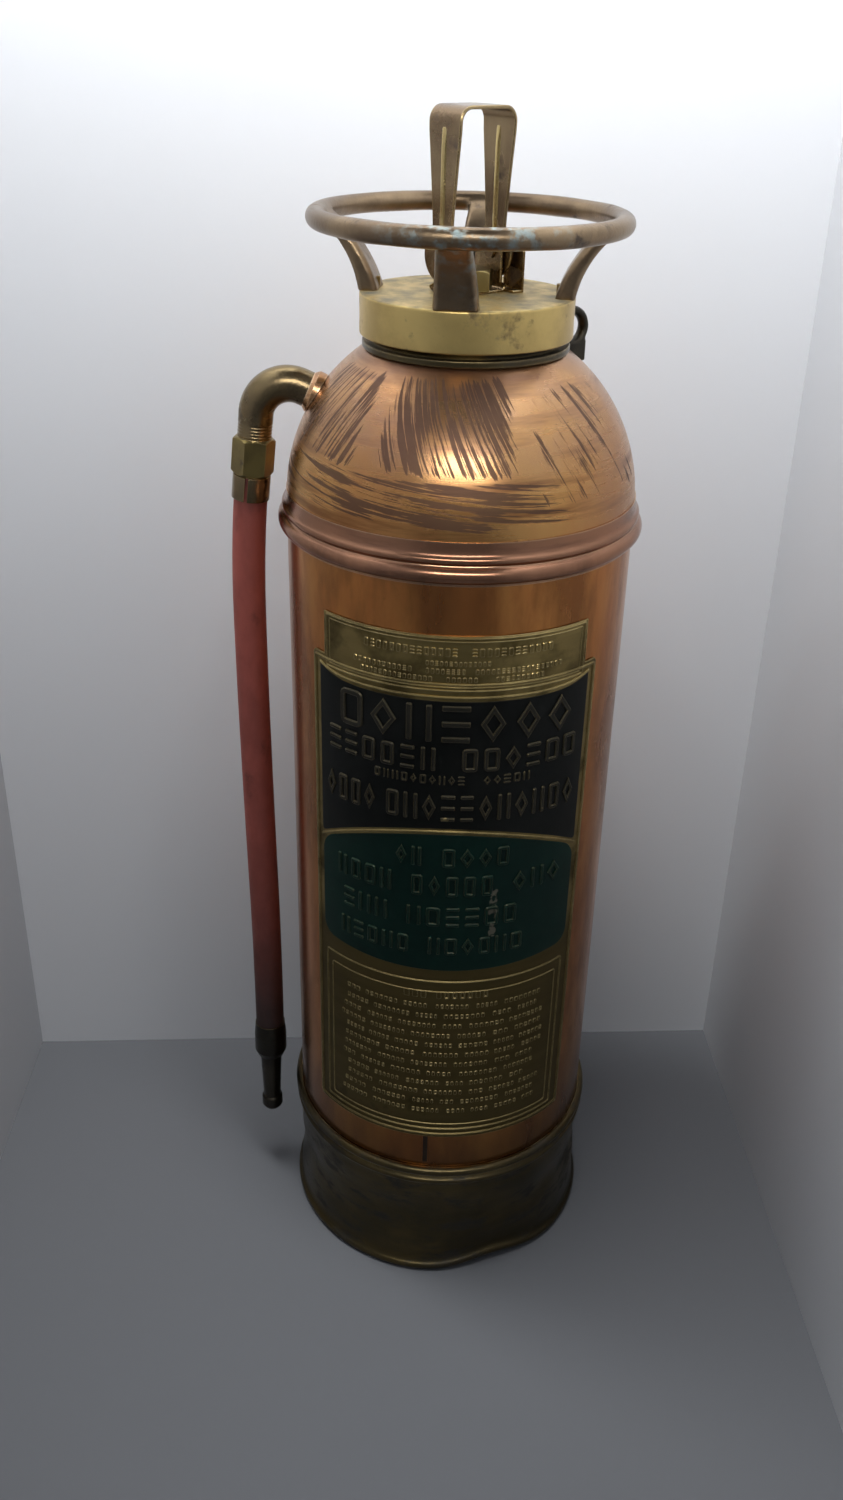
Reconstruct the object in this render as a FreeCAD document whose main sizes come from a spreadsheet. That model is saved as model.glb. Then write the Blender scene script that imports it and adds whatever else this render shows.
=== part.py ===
# A water-filled, cartridge-operated fire extinguisher with a copper tank and brass fittings.
#
# Frame: millimetres, +Z up, origin on the tank's axis in the plane that the foot stands on.
# The name plate faces -Y. The outlet and its hose are on the -X side.
import FreeCAD, Part
import Sketcher
import math
import os

Vector = FreeCAD.Vector
os.makedirs("parts", exist_ok=True)
doc = FreeCAD.newDocument("extinguisher")
sheet = doc.addObject("Spreadsheet::Sheet", "Sizes")


# ---------------------------------------------------------------- sizes kept in the spreadsheet
class Size:
    """A size in mm or degrees, held as a number together with its spreadsheet formula."""

    def __init__(self, value, text):
        self.value = value
        self.text = text

    def __add__(self, other):
        other = as_size(other)
        return Size(self.value + other.value, f"({self.text} + {other.text})")

    def __sub__(self, other):
        other = as_size(other)
        return Size(self.value - other.value, f"({self.text} - {other.text})")

    def __mul__(self, other):
        other = as_size(other)
        return Size(self.value * other.value, f"({self.text} * {other.text})")

    def __truediv__(self, other):
        other = as_size(other)
        return Size(self.value / other.value, f"({self.text} / {other.text})")

    def __neg__(self):
        return Size(-self.value, f"(0 - {self.text})")

    def __rsub__(self, other):
        return as_size(other) - self

    __radd__ = __add__
    __rmul__ = __mul__


def as_size(number):
    """A plain number becomes a Size, and a Size stays as it is."""
    return number if isinstance(number, Size) else Size(number, str(number))


def root(size):
    """Square root of a size."""
    return Size(math.sqrt(size.value), f"sqrt({size.text})")


def size(alias, value, note):
    """Adds a driving dimension to the spreadsheet and returns it as a Size."""
    size.row += 1
    sheet.set(f"A{size.row}", note)
    sheet.set(f"B{size.row}", str(value))
    sheet.setAlias(f"B{size.row}", alias)
    return Size(value, f"Sizes.{alias}")


size.row = 0

# Tank
tank_radius = size("tank_radius", 89.0, "outside radius of the tank")
sheet_wall = size("sheet_wall", 1.2, "copper sheet of shell, dome and bottom")
shell_bottom = size("shell_bottom", 62.0, "lower end of the shell, inside the base skirt")
seam_height = size("seam_height", 458.5, "joint of shell and dome, under the seam bead")
dome_centre = size("dome_centre", 468.0, "centre of the round dome")
bead_bulge = size("bead_bulge", 3.8, "how far the seam bead stands out")
bead_half = size("bead_half", 5.0, "half the seam bead's height")
# Base skirt
skirt_wall = size("skirt_wall", 1.3, "brass sheet of the base skirt")
skirt_top = size("skirt_top", 86.0, "upper edge of the base skirt")
waist_radius = size("waist_radius", 88.2, "outside radius at the skirt's waist")
waist_height = size("waist_height", 42.5, "height of the skirt's waist")
foot_radius = size("foot_radius", 91.2, "outside radius of the flat foot, without its roll")
foot_height = size("foot_height", 5.4, "height of the rolled foot edge")
# Neck and cap
mouth_radius = size("mouth_radius", 38.0, "bore of the filling neck")
thread_radius = size("thread_radius", 46.9, "outside radius of the neck's thread")
flange_radius = size("flange_radius", 50.5, "outside radius of the neck's flange")
flange_top = size("flange_top", 545.4, "top of the neck's flange")
rim_height = size("rim_height", 560.0, "top of the neck, where the gasket sits")
gasket_thickness = size("gasket_thickness", 2.5, "cap gasket")
cap_radius = size("cap_radius", 51.85, "outside radius of the cap")
cap_bottom = size("cap_bottom", 548.3, "lower edge of the cap")
cap_top = size("cap_top", 567.5, "upper face of the cap")
cap_gap = size("cap_gap", 0.35, "radial clearance that stands for the cap's thread")
# Carrying handle
ring_radius = size("ring_radius", 72.1, "centreline radius of the handle's ring")
ring_height = size("ring_height", 600.5, "height of the handle's ring")
bar_radius = size("bar_radius", 4.75, "radius of the ring's bar")
arm_width = size("arm_width", 21.0, "width of an arm at its foot")
arm_azimuth = size("arm_azimuth", -6.0, "turn of the four arms about the tank's axis, degrees")
rivet_circle = size("rivet_circle", 44.5, "radius of the circle of handle rivets")
rivet_radius = size("rivet_radius", 2.2, "handle rivet")
# Guard
guard_azimuth = size("guard_azimuth", 42.0, "direction of the guard's hinge pins, degrees")
pin_height = size("pin_height", 585.0, "height of the guard's hinge pins")
guard_top = size("guard_top", 648.4, "top of the upright guard")
guard_half = size("guard_half", 17.3, "half the guard's width over its legs")
strap_thickness = size("strap_thickness", 1.6, "brass strap of the guard")
strap_top_half = size("strap_top_half", 10.85, "half the strap's width at the top")
strap_low_half = size("strap_low_half", 6.75, "half the strap's width above the ears")
ear_radius = size("ear_radius", 12.3, "round ear at the end of each leg")
pin_radius = size("pin_radius", 2.0, "guard hinge pin")
pin_fit = size("pin_fit", 0.05, "radial running fit of the guard on its pins")
bracket_half = size("bracket_half", 15.0, "half the bracket's width over its ears")
plate_thickness = size("plate_thickness", 1.5, "brass plate of the bracket")
# Plunger and cartridge
stem_radius = size("stem_radius", 3.0, "plunger stem")
stem_fit = size("stem_fit", 0.06, "radial running fit of the stem")
knob_radius = size("knob_radius", 11.0, "striker knob")
knob_bottom = size("knob_bottom", 587.0, "under side of the striker knob")
knob_height = size("knob_height", 8.0, "thickness of the striker knob")
boss_radius = size("boss_radius", 9.5, "threaded boss through the cap")
nut_flats = size("nut_flats", 22.0, "gland nut across flats")
nut_top = size("nut_top", 578.5, "top of the gland nut")
chamber_radius = size("chamber_radius", 8.0, "spring chamber")
chamber_bottom = size("chamber_bottom", 535.0, "lower end of the spring chamber")
collar_bottom = size("collar_bottom", 552.0, "spring collar's lower face")
spring_radius = size("spring_radius", 5.2, "mean radius of the return spring")
wire_radius = size("wire_radius", 0.6, "wire of the return spring")
cartridge_radius = size("cartridge_radius", 18.5, "gas cartridge")
cartridge_top = size("cartridge_top", 530.5, "top of the cartridge's neck")
cage_radius = size("cage_radius", 21.0, "outside radius of the cartridge cage")
cage_bottom = size("cage_bottom", 356.0, "lower end of the cartridge cage")
# Outlet
bend_radius = size("bend_radius", 17.0, "centreline radius of the gooseneck's bend")
bend_reach = size("bend_reach", 87.0, "distance of the bend's centre from the tank's axis")
bend_height = size("bend_height", 504.5, "height of the bend's centre")
pipe_radius = size("pipe_radius", 8.8, "outside radius of the gooseneck")
pipe_bore = size("pipe_bore", 6.6, "bore radius of the gooseneck")
entry_slope = size("entry_slope", 23.0, "slope of the gooseneck into the dome, degrees")
leg_tilt = size("leg_tilt", 6.0, "outward tilt of the gooseneck's leg, degrees")
leg_length = size("leg_length", 12.0, "straight leg below the bend")
union_flats = size("union_flats", 19.0, "union nut across flats")
union_length = size("union_length", 18.7, "length of the union nut")
hose_radius = size("hose_radius", 8.75, "outside radius of the hose")
hose_bore = size("hose_bore", 5.6, "bore radius of the hose")
hose_start = size("hose_start", 31.5, "hose end, measured along the leg from the bend")
nozzle_length = size("nozzle_length", 51.0, "nozzle below the end of the hose")
# Name plate and hanger
plate_radius = size("plate_radius", 89.75, "outside radius of the name plate")
plate_bottom = size("plate_bottom", 110.0, "lower edge of the name plate")
plate_top = size("plate_top", 404.0, "upper edge of the name plate")
tab_top = size("tab_top", 427.0, "upper edge of the plate's tab")
plate_angle = size("plate_angle", 104.0, "wrap of the name plate, degrees")
tab_angle = size("tab_angle", 92.0, "wrap of the plate's tab, degrees")
eye_reach = size("eye_reach", 64.5, "distance of the hanger eye from the tank's axis")
eye_height = size("eye_height", 545.5, "height of the hanger eye")
eye_bore = size("eye_bore", 6.5, "bore radius of the hanger eye")
eye_azimuth = size("eye_azimuth", 35.0, "direction of the hanger eye, degrees from +X")
doc.recompute()


# ---------------------------------------------------------------- ways of building a piece
def new_body(label):
    body = doc.addObject("PartDesign::Body", label)
    body.Label = label
    return body


def sketch_on(body, plane, name):
    """A sketch on one of the body's own origin planes."""
    sketch = body.newObject("Sketcher::SketchObject", name)
    origin_plane = [item for item in body.Origin.OriginFeatures if item.Role == plane][0]
    sketch.AttachmentSupport = [(origin_plane, "")]
    sketch.MapMode = "FlatFace"
    return sketch


def bind(item, path, value):
    """Ties one property or constraint to the spreadsheet."""
    item.setExpression(path, as_size(value).text)


def arc_between(start, end, radius):
    """The arc from start to end: a positive radius bulges to the left of the way, a negative one to the right."""
    chord = end - start
    half = chord.Length / 2
    left = Vector(-chord.y, chord.x, 0).normalize()
    depth = math.sqrt(max(radius * radius - half * half, 0.0))
    side = 1 if radius > 0 else -1
    centre = start + chord * 0.5 - left * depth * side
    first, last = (start, end) if side < 0 else (end, start)
    angles = [math.atan2(point.y - centre.y, point.x - centre.x) for point in (first, last)]
    if angles[1] < angles[0]:
        angles[1] += 2 * math.pi
    circle = Part.Circle(centre, Vector(0, 0, 1), abs(radius))
    return Part.ArcOfCircle(circle, angles[0], angles[1])


def add_loop(sketch, corners):
    """Draws a closed outline through the corners. A corner is (x, y), or (x, y, radius) when an arc leaves it."""
    spots = [Vector(as_size(corner[0]).value, as_size(corner[1]).value, 0) for corner in corners]
    leaving = []
    for number, corner in enumerate(corners):
        start = spots[number]
        end = spots[(number + 1) % len(spots)]
        if len(corner) == 3:
            radius = as_size(corner[2])
            edge = sketch.addGeometry(arc_between(start, end, radius.value), False)
            item = sketch.addConstraint(Sketcher.Constraint("Radius", edge, abs(radius.value)))
            sketch.setExpression(f"Constraints[{item}]", f"abs({radius.text})")
            leaving.append((edge, 1 if radius.value < 0 else 2))
        else:
            edge = sketch.addGeometry(Part.LineSegment(start, end), False)
            leaving.append((edge, 1))
    for number, (edge, first) in enumerate(leaving):
        before, before_first = leaving[number - 1]
        sketch.addConstraint(Sketcher.Constraint("Coincident", before, 3 - before_first, edge, first))
        for kind, value in (("DistanceX", corners[number][0]), ("DistanceY", corners[number][1])):
            value = as_size(value)
            item = sketch.addConstraint(Sketcher.Constraint(kind, -1, 1, edge, first, value.value))
            sketch.setExpression(f"Constraints[{item}]", value.text)


def add_circle(sketch, x, y, radius):
    """Draws a circle whose centre and radius are bound to the spreadsheet."""
    x, y, radius = as_size(x), as_size(y), as_size(radius)
    circle = Part.Circle(Vector(x.value, y.value, 0), Vector(0, 0, 1), radius.value)
    edge = sketch.addGeometry(circle, False)
    item = sketch.addConstraint(Sketcher.Constraint("Radius", edge, radius.value))
    sketch.setExpression(f"Constraints[{item}]", radius.text)
    for kind, value in (("DistanceX", x), ("DistanceY", y)):
        item = sketch.addConstraint(Sketcher.Constraint(kind, -1, 1, edge, 3, value.value))
        sketch.setExpression(f"Constraints[{item}]", value.text)


def revolve(body, corners, angle=360):
    """Turns an outline of (radius, height) corners about the body's Z axis."""
    sketch = sketch_on(body, "XZ_Plane", f"{body.Name}_outline")
    add_loop(sketch, corners)
    feature = body.newObject("PartDesign::Revolution", f"{body.Name}_turn")
    feature.Profile = sketch
    feature.ReferenceAxis = (sketch, ["V_Axis"])
    feature.Midplane = True
    bind(feature, "Angle", angle)
    return feature


def turned(label, corners, angle=360):
    """A turned or spun piece in one revolution."""
    body = new_body(label)
    revolve(body, corners, angle)
    return body


def pad(body, sketch, length, middle=True):
    feature = body.newObject("PartDesign::Pad", f"{sketch.Name}_pad")
    feature.Profile = sketch
    feature.Midplane = middle
    bind(feature, "Length", length)
    return feature


def pocket(body, sketch, length, middle=True, flip=False):
    feature = body.newObject("PartDesign::Pocket", f"{sketch.Name}_cut")
    feature.Profile = sketch
    feature.Midplane = middle
    feature.Reversed = flip
    bind(feature, "Length", length)
    return feature


def around(body, features, count):
    """Repeats features evenly about the body's Z axis."""
    pattern = body.newObject("PartDesign::PolarPattern", f"{body.Name}_around")
    pattern.Originals = features
    pattern.Axis = ([item for item in body.Origin.OriginFeatures if item.Role == "Z_Axis"][0], [""])
    pattern.Angle = 360
    pattern.Occurrences = count
    body.Tip = pattern
    return pattern


def combine(kind, label, base, tool):
    """A Part boolean of two objects: kind is Cut, Common or Fuse."""
    result = doc.addObject(f"Part::{kind}", label)
    result.Label = label
    result.Base = base
    result.Tool = tool
    return result


def cylinder(name, radius, height, placement=None):
    item = doc.addObject("Part::Cylinder", name)
    bind(item, "Radius", radius)
    bind(item, "Height", height)
    item.Placement = placement or FreeCAD.Placement()
    return item


def box(name, length, width, height, placement):
    item = doc.addObject("Part::Box", name)
    bind(item, "Length", length)
    bind(item, "Width", width)
    bind(item, "Height", height)
    item.Placement = placement
    return item


def turn_about(axis, degrees, position=None):
    """A placement turned about an axis through the origin and then moved."""
    return FreeCAD.Placement(position or Vector(), FreeCAD.Rotation(axis, degrees))


X_AXIS = Vector(1, 0, 0)
Y_AXIS = Vector(0, 1, 0)
Z_AXIS = Vector(0, 0, 1)


# ---------------------------------------------------------------- tank
def height_on_sphere(radius, sphere_radius):
    """Height where a sphere about the dome's centre has this distance from the axis."""
    return dome_centre + root(sphere_radius * sphere_radius - radius * radius)


def make_tank():
    inside = tank_radius - sheet_wall
    turned("tank_shell", [
        (inside, shell_bottom), (tank_radius, shell_bottom),
        (tank_radius, seam_height), (inside, seam_height),
    ])

    hole = thread_radius
    dome = turned("dome_sheet", [
        (tank_radius, seam_height), (tank_radius, dome_centre, -tank_radius),
        (hole, height_on_sphere(hole, tank_radius)), (hole, height_on_sphere(hole, inside), inside),
        (inside, dome_centre), (inside, seam_height),
    ])
    combine("Cut", "dome", dome, entry_cylinder("dome_hole", pipe_radius))

    low = seam_height - bead_half
    high = seam_height + bead_half
    bulge = (bead_half * bead_half + bead_bulge * bead_bulge) / (bead_bulge * 2)
    turned("seam_bead", [
        (tank_radius, low - 1.6), (tank_radius + 0.7, low - 1.6), (tank_radius + 0.7, low, bulge * -1),
        (tank_radius, high),
    ])

    rise = 18.0
    dish = (inside * inside + rise * rise) / (2 * rise)
    under = dish - sheet_wall
    flange_high = shell_bottom + 10
    apex = flange_high + rise
    inner = inside - sheet_wall
    turned("bottom_head", [
        (0, apex), (0, apex - sheet_wall, under), (inner, apex - dish + root(under * under - inner * inner)),
        (inner, shell_bottom), (inside, shell_bottom), (inside, flange_high, dish * -1),
    ])


def make_skirt():
    wall_outside = tank_radius + 0.1 + skirt_wall
    wall_inside = tank_radius + 0.1
    shoulder = shell_bottom - 1
    turned("base_skirt", [
        (foot_radius - 4.2, 0), (foot_radius, 0, -2.95), (foot_radius, foot_height, 170),
        (waist_radius, waist_height, 190), (wall_outside, shoulder),
        (wall_outside, skirt_top - 12), (wall_outside + 0.9, skirt_top - 10.5, -1.4),
        (wall_outside + 0.9, skirt_top - 8), (wall_outside, skirt_top - 6.6), (wall_outside, skirt_top - 5, -2.55),
        (wall_outside, skirt_top), (wall_inside, skirt_top), (wall_inside, shoulder, -190),
        (waist_radius - skirt_wall, waist_height, -170), (foot_radius - 2.6, foot_height),
        (foot_radius - 4.2, foot_height - 1.4),
    ])


def make_neck():
    inner_ring = thread_radius - 0.4
    turned("neck_collar", [
        (mouth_radius, flange_top - 11), (inner_ring, flange_top - 11),
        (inner_ring, height_on_sphere(inner_ring, tank_radius) + 0.1),
        (flange_radius, height_on_sphere(flange_radius, tank_radius) + 0.2),
        (flange_radius, flange_top), (thread_radius, flange_top),
        (thread_radius, rim_height), (mouth_radius, rim_height),
    ])


def make_name_plate():
    inside = tank_radius + 0.05
    body = new_body("name_plate")
    revolve(body, [
        (inside, plate_bottom), (plate_radius, plate_bottom), (plate_radius, plate_top), (inside, plate_top),
    ], plate_angle)
    tab = sketch_on(body, "XZ_Plane", "tab_outline")
    add_loop(tab, [
        (inside, plate_top - 1), (plate_radius, plate_top - 1), (plate_radius, tab_top), (inside, tab_top),
    ])
    feature = body.newObject("PartDesign::Revolution", "tab_turn")
    feature.Profile = tab
    feature.ReferenceAxis = (tab, ["V_Axis"])
    feature.Midplane = True
    bind(feature, "Angle", tab_angle)
    body.Placement = turn_about(Z_AXIS, -90)


def make_hanger():
    """A flat eye on a foot. It stands on the dome beside the cap, and its bore is level and tangential."""
    thickness = 7
    outer = eye_bore + 4
    body = new_body("eye_stock")
    side = sketch_on(body, "XZ_Plane", "eye_side")
    add_circle(side, 0, 0, outer)
    pad(body, side, thickness)
    foot = sketch_on(body, "XZ_Plane", "eye_foot")
    add_loop(foot, [(-8, -24), (11, -24), (8, -6), (-8, -6)])
    pad(body, foot, thickness)
    bore = sketch_on(body, "XZ_Plane", "eye_bore")
    add_circle(bore, 0, 0, eye_bore)
    pocket(body, bore, thickness * 3)
    reach = turn_about(Z_AXIS, eye_azimuth.value).multVec(Vector(eye_reach.value, 0, eye_height.value))
    body.Placement = turn_about(Z_AXIS, eye_azimuth.value, reach)
    ball = doc.addObject("Part::Sphere", "dome_ball")
    bind(ball, "Radius", tank_radius)
    ball.Placement.Base = Vector(0, 0, dome_centre.value)
    combine("Cut", "hanger_eye", body, ball)


# ---------------------------------------------------------------- outlet and hose
def bend_point(degrees):
    """A point on the gooseneck's bend, at this angle from +X about the bend's centre."""
    angle = math.radians(degrees)
    return Vector(
        -bend_reach.value + bend_radius.value * math.cos(angle), 0,
        bend_height.value + bend_radius.value * math.sin(angle),
    )


entry_point = bend_point(90 - entry_slope.value)
leg_point = bend_point(180 - leg_tilt.value)
# An outlet piece's own +Z points into the dome, and a leg piece's own -Z points down the leg.
entry_frame = FreeCAD.Placement(entry_point, FreeCAD.Rotation(Y_AXIS, 90 + entry_slope.value))
leg_frame = FreeCAD.Placement(leg_point, FreeCAD.Rotation(Y_AXIS, leg_tilt.value))
ENTRY_LENGTH = 22.0


def entry_cylinder(name, radius, start=0.0, length=ENTRY_LENGTH):
    """A cylinder along the gooseneck's straight stretch through the dome."""
    return cylinder(name, radius, length, entry_frame * FreeCAD.Placement(Vector(0, 0, start), FreeCAD.Rotation()))


def bent_bar(name, radius):
    """The gooseneck's straight stretch, bend and leg as one bar of this radius."""
    bend = doc.addObject("Part::Torus", f"{name}_bend")
    bind(bend, "Radius1", bend_radius)
    bind(bend, "Radius2", radius)
    bind(bend, "Angle3", 90 - leg_tilt + entry_slope)
    lying = FreeCAD.Rotation(X_AXIS, 90)
    centre = Vector(-bend_reach.value, 0, bend_height.value)
    bend.Placement = FreeCAD.Placement(centre, lying * FreeCAD.Rotation(Z_AXIS, 90 - entry_slope.value))
    leg = cylinder(f"{name}_leg", radius, leg_length)
    leg.Placement = leg_frame * FreeCAD.Placement(Vector(0, 0, -leg_length.value), FreeCAD.Rotation())
    fused = combine("Fuse", f"{name}_upper", entry_cylinder(f"{name}_entry", radius), bend)
    return combine("Fuse", f"{name}_bar", fused, leg)


def make_gooseneck():
    spigot_length = 12.0
    spigot = cylinder("spigot", union_flats / 2 - 2.1, spigot_length + 1)
    spigot.Placement = leg_frame * FreeCAD.Placement(Vector(0, 0, -leg_length.value - spigot_length), FreeCAD.Rotation())
    outside = combine("Fuse", "gooseneck_outside", bent_bar("outer", pipe_radius), spigot)
    bore_end = cylinder("bore_end", pipe_bore - 1.6, spigot_length + 5)
    bore_end.Placement = leg_frame * FreeCAD.Placement(
        Vector(0, 0, -leg_length.value - spigot_length - 1), FreeCAD.Rotation())
    bore = combine("Fuse", "gooseneck_bore", bent_bar("inner", pipe_bore), bore_end)
    combine("Cut", "gooseneck", outside, bore)

    fillet = turned("solder_fillet", [
        (pipe_radius, -12), (pipe_radius + 1.8, -12), (pipe_radius + 1.8, -5.4), (pipe_radius, -3.2),
    ])
    fillet.Placement = entry_frame * FreeCAD.Placement(Vector(), FreeCAD.Rotation(X_AXIS, 180))
    dome_face = doc.addObject("Part::Sphere", "dome_face")
    bind(dome_face, "Radius", tank_radius + 0.02)
    dome_face.Placement.Base = Vector(0, 0, dome_centre.value)
    combine("Cut", "outlet_flange", fillet, dome_face)
    strainer = new_body("outlet_strainer")
    tip = 20.0
    revolve(strainer, [
        (pipe_bore - 1.3, 2), (pipe_bore - 0.1, 2), (pipe_bore - 0.1, tip), (0, tip), (0, tip - 1.2),
        (pipe_bore - 1.3, tip - 1.2),
    ])
    holes = sketch_on(strainer, "YZ_Plane", "strainer_hole")
    for row in (6, 10.5, 15):
        add_circle(holes, 0, row, 1.3)
    cut = pocket(strainer, holes, 20, middle=False, flip=True)
    around(strainer, [cut], 6)
    strainer.Placement = entry_frame * FreeCAD.Placement(Vector(0, 0, ENTRY_LENGTH - 8), FreeCAD.Rotation())


def hexagon(name, flats, bottom, top):
    """A hexagonal prism about Z between two heights."""
    body = new_body(name)
    sketch = sketch_on(body, "XY_Plane", f"{name}_hexagon")
    corner = flats / math.sqrt(3)
    add_loop(sketch, [
        (corner * math.cos(math.radians(60 * k)), corner * math.sin(math.radians(60 * k))) for k in range(6)
    ])
    pad(body, sketch, top - bottom, middle=False)
    body.Placement.Base = Vector(0, 0, as_size(bottom).value)
    return body


def make_hose_fittings():
    top = leg_length * -1 - 0.1
    bottom = top - union_length
    corner = union_flats / math.sqrt(3)
    chamfer = 1.6
    spigot = union_flats / 2 - 2.1
    bore = spigot + 0.2
    shoulder = bottom + 2.4
    blank = turned("union_blank", [
        (bore, top), (corner - chamfer, top), (corner + 0.3, top - chamfer), (corner + 0.3, bottom + chamfer),
        (corner - chamfer, bottom), (hose_bore + 0.6, bottom), (hose_bore + 0.6, shoulder), (bore, shoulder),
    ])
    nut = combine("Common", "union_nut", blank, hexagon("union_hexagon", union_flats, bottom, top))
    nut.Placement = leg_frame * FreeCAD.Placement(Vector(), FreeCAD.Rotation(Z_AXIS, -18))

    spigot_end = leg_length * -1 - 12
    washer = turned("union_washer", [
        (pipe_bore - 1.6, shoulder + 2.4), (spigot, shoulder + 2.4), (spigot, spigot_end), (pipe_bore - 1.6, spigot_end),
    ])
    washer.Placement = leg_frame

    hose_end = hose_start * -1
    tail = turned("hose_tail", [
        (4.0, shoulder + 2.4), (spigot, shoulder + 2.4), (spigot, shoulder), (hose_bore + 0.4, shoulder),
        (hose_bore + 0.4, bottom - 0.3), (hose_radius, bottom - 0.3), (hose_radius, hose_end),
        (hose_bore, hose_end), (hose_bore, hose_end - 17), (4.0, hose_end - 17),
    ])
    tail.Placement = leg_frame

    band = turned("ferrule_band", [
        (hose_radius, bottom - 0.4), (hose_radius + 0.85, bottom - 0.4),
        (hose_radius + 0.85, hose_end - 12.6), (hose_radius, hose_end - 12.6),
    ])
    split = box("ferrule_split", 1.2, 14, 30, FreeCAD.Placement(Vector(-1.8, -15, hose_end.value - 20), FreeCAD.Rotation()))
    ferrule = combine("Cut", "hose_ferrule", band, split)
    ferrule.Placement = leg_frame


def hose_route():
    """The hose's centreline: straight runs joined by tangent arcs, from the tail down to the nozzle."""
    start = leg_frame.multVec(Vector(0, 0, -hose_start.value))
    corners = [
        start,
        leg_frame.multVec(Vector(0, 0, -hose_start.value - 37)),
        Vector(-111.6, 0, 370),
        Vector(-110.8, 0, 270),
        Vector(-109.3, 0, 170),
        Vector(-110.0, 0, 96),
    ]
    edges = []
    radii = []
    reached = start
    for before, corner, after in zip(corners, corners[1:], corners[2:]):
        arriving = corner - before
        leaving = after - corner
        half_turn = arriving.getAngle(leaving) / 2
        setback = 0.45 * min(arriving.Length, leaving.Length)
        radius = setback / math.tan(half_turn)
        radii.append(radius)
        first = corner - arriving.normalize() * setback
        last = corner + leaving.normalize() * setback
        toward = (last + first) * 0.5 - corner
        depth = radius / math.cos(half_turn) - radius
        middle = corner + toward.normalize() * depth
        edges.append(Part.LineSegment(reached, first).toShape())
        edges.append(Part.Arc(first, middle, last).toShape())
        reached = last
    edges.append(Part.LineSegment(reached, corners[-1]).toShape())
    return Part.Wire(edges), radii, corners


def swept_bar(path, radius):
    """A round bar of this radius along a path."""
    start = path.Edges[0].Vertexes[0].Point
    along = path.Edges[0].tangentAt(path.Edges[0].FirstParameter)
    section = Part.Wire([Part.Circle(start, along, radius).toShape()])
    return path.makePipeShell([section], True, False)


def make_hose():
    path, radii, corners = hose_route()
    hose = doc.addObject("Part::Feature", "hose")
    hose.Label = "hose"
    hose.Shape = swept_bar(path, hose_radius.value).cut(swept_bar(path, hose_bore.value))
    section = math.pi * (hose_radius.value**2 - hose_bore.value**2)
    print("hose radii", [round(radius) for radius in radii], "length", round(path.Length, 1))
    print("hose volume", round(hose.Shape.Volume), "section by length", round(section * path.Length))
    return corners


def make_nozzle(corners):
    """The nozzle and its ferrule, on the line of the hose's last run. Their own -Z points down that line."""
    line = corners[-2] - corners[-1]
    tilt = math.degrees(math.atan2(line.x, line.z))
    end_frame = FreeCAD.Placement(corners[-1], FreeCAD.Rotation(Y_AXIS, tilt))
    flange = 4.4
    throat = 6.7
    tip = 5.45
    nozzle = turned("nozzle", [
        (3.2, 19), (hose_bore, 19), (hose_bore, 0), (hose_radius, 0), (hose_radius, flange * -1),
        (throat, -flange - 1), (tip, -nozzle_length + 12), (tip + 1, -nozzle_length + 10.4, -4.2),
        (tip + 1, -nozzle_length + 5), (tip - 0.4, nozzle_length * -1), (3.2, nozzle_length * -1),
    ])
    nozzle.Placement = end_frame
    ferrule = turned("nozzle_ferrule", [
        (hose_radius, 20.6), (hose_radius + 1, 20.6), (hose_radius + 1, flange * -1 + 0.6),
        (hose_radius + 0.3, flange * -1), (hose_radius, flange * -1),
    ])
    ferrule.Placement = end_frame


# ---------------------------------------------------------------- cap and carrying handle
def rivet_pin(label, radius, reach, bottom, top):
    """Four plain pins on a circle, turned to stand under the handle's arms."""
    body = new_body(label)
    sketch = sketch_on(body, "XY_Plane", f"{label}_pin")
    add_circle(sketch, reach, 0, radius)
    pin = pad(body, sketch, top - bottom, middle=False)
    around(body, [pin], 4)
    body.Placement = turn_about(Z_AXIS, arm_azimuth.value, Vector(0, 0, bottom.value))
    return body


def make_cap():
    under = rim_height + gasket_thickness
    inside = thread_radius + cap_gap
    hole = boss_radius + 0.3
    blank = turned("cap_blank", [
        (hole, under), (hole, cap_top), (cap_radius - 0.9, cap_top, 0.9), (cap_radius, cap_top - 0.9),
        (cap_radius, cap_bottom + 0.8), (cap_radius - 0.8, cap_bottom), (inside, cap_bottom), (inside, under),
    ])
    holes = rivet_pin("cap_rivet_holes", rivet_radius, rivet_circle, under, cap_top)
    combine("Cut", "cap", blank, holes)
    turned("cap_gasket", [
        (mouth_radius + 0.5, rim_height), (thread_radius - 0.2, rim_height),
        (thread_radius - 0.2, under), (mouth_radius + 0.5, under),
    ])


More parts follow.
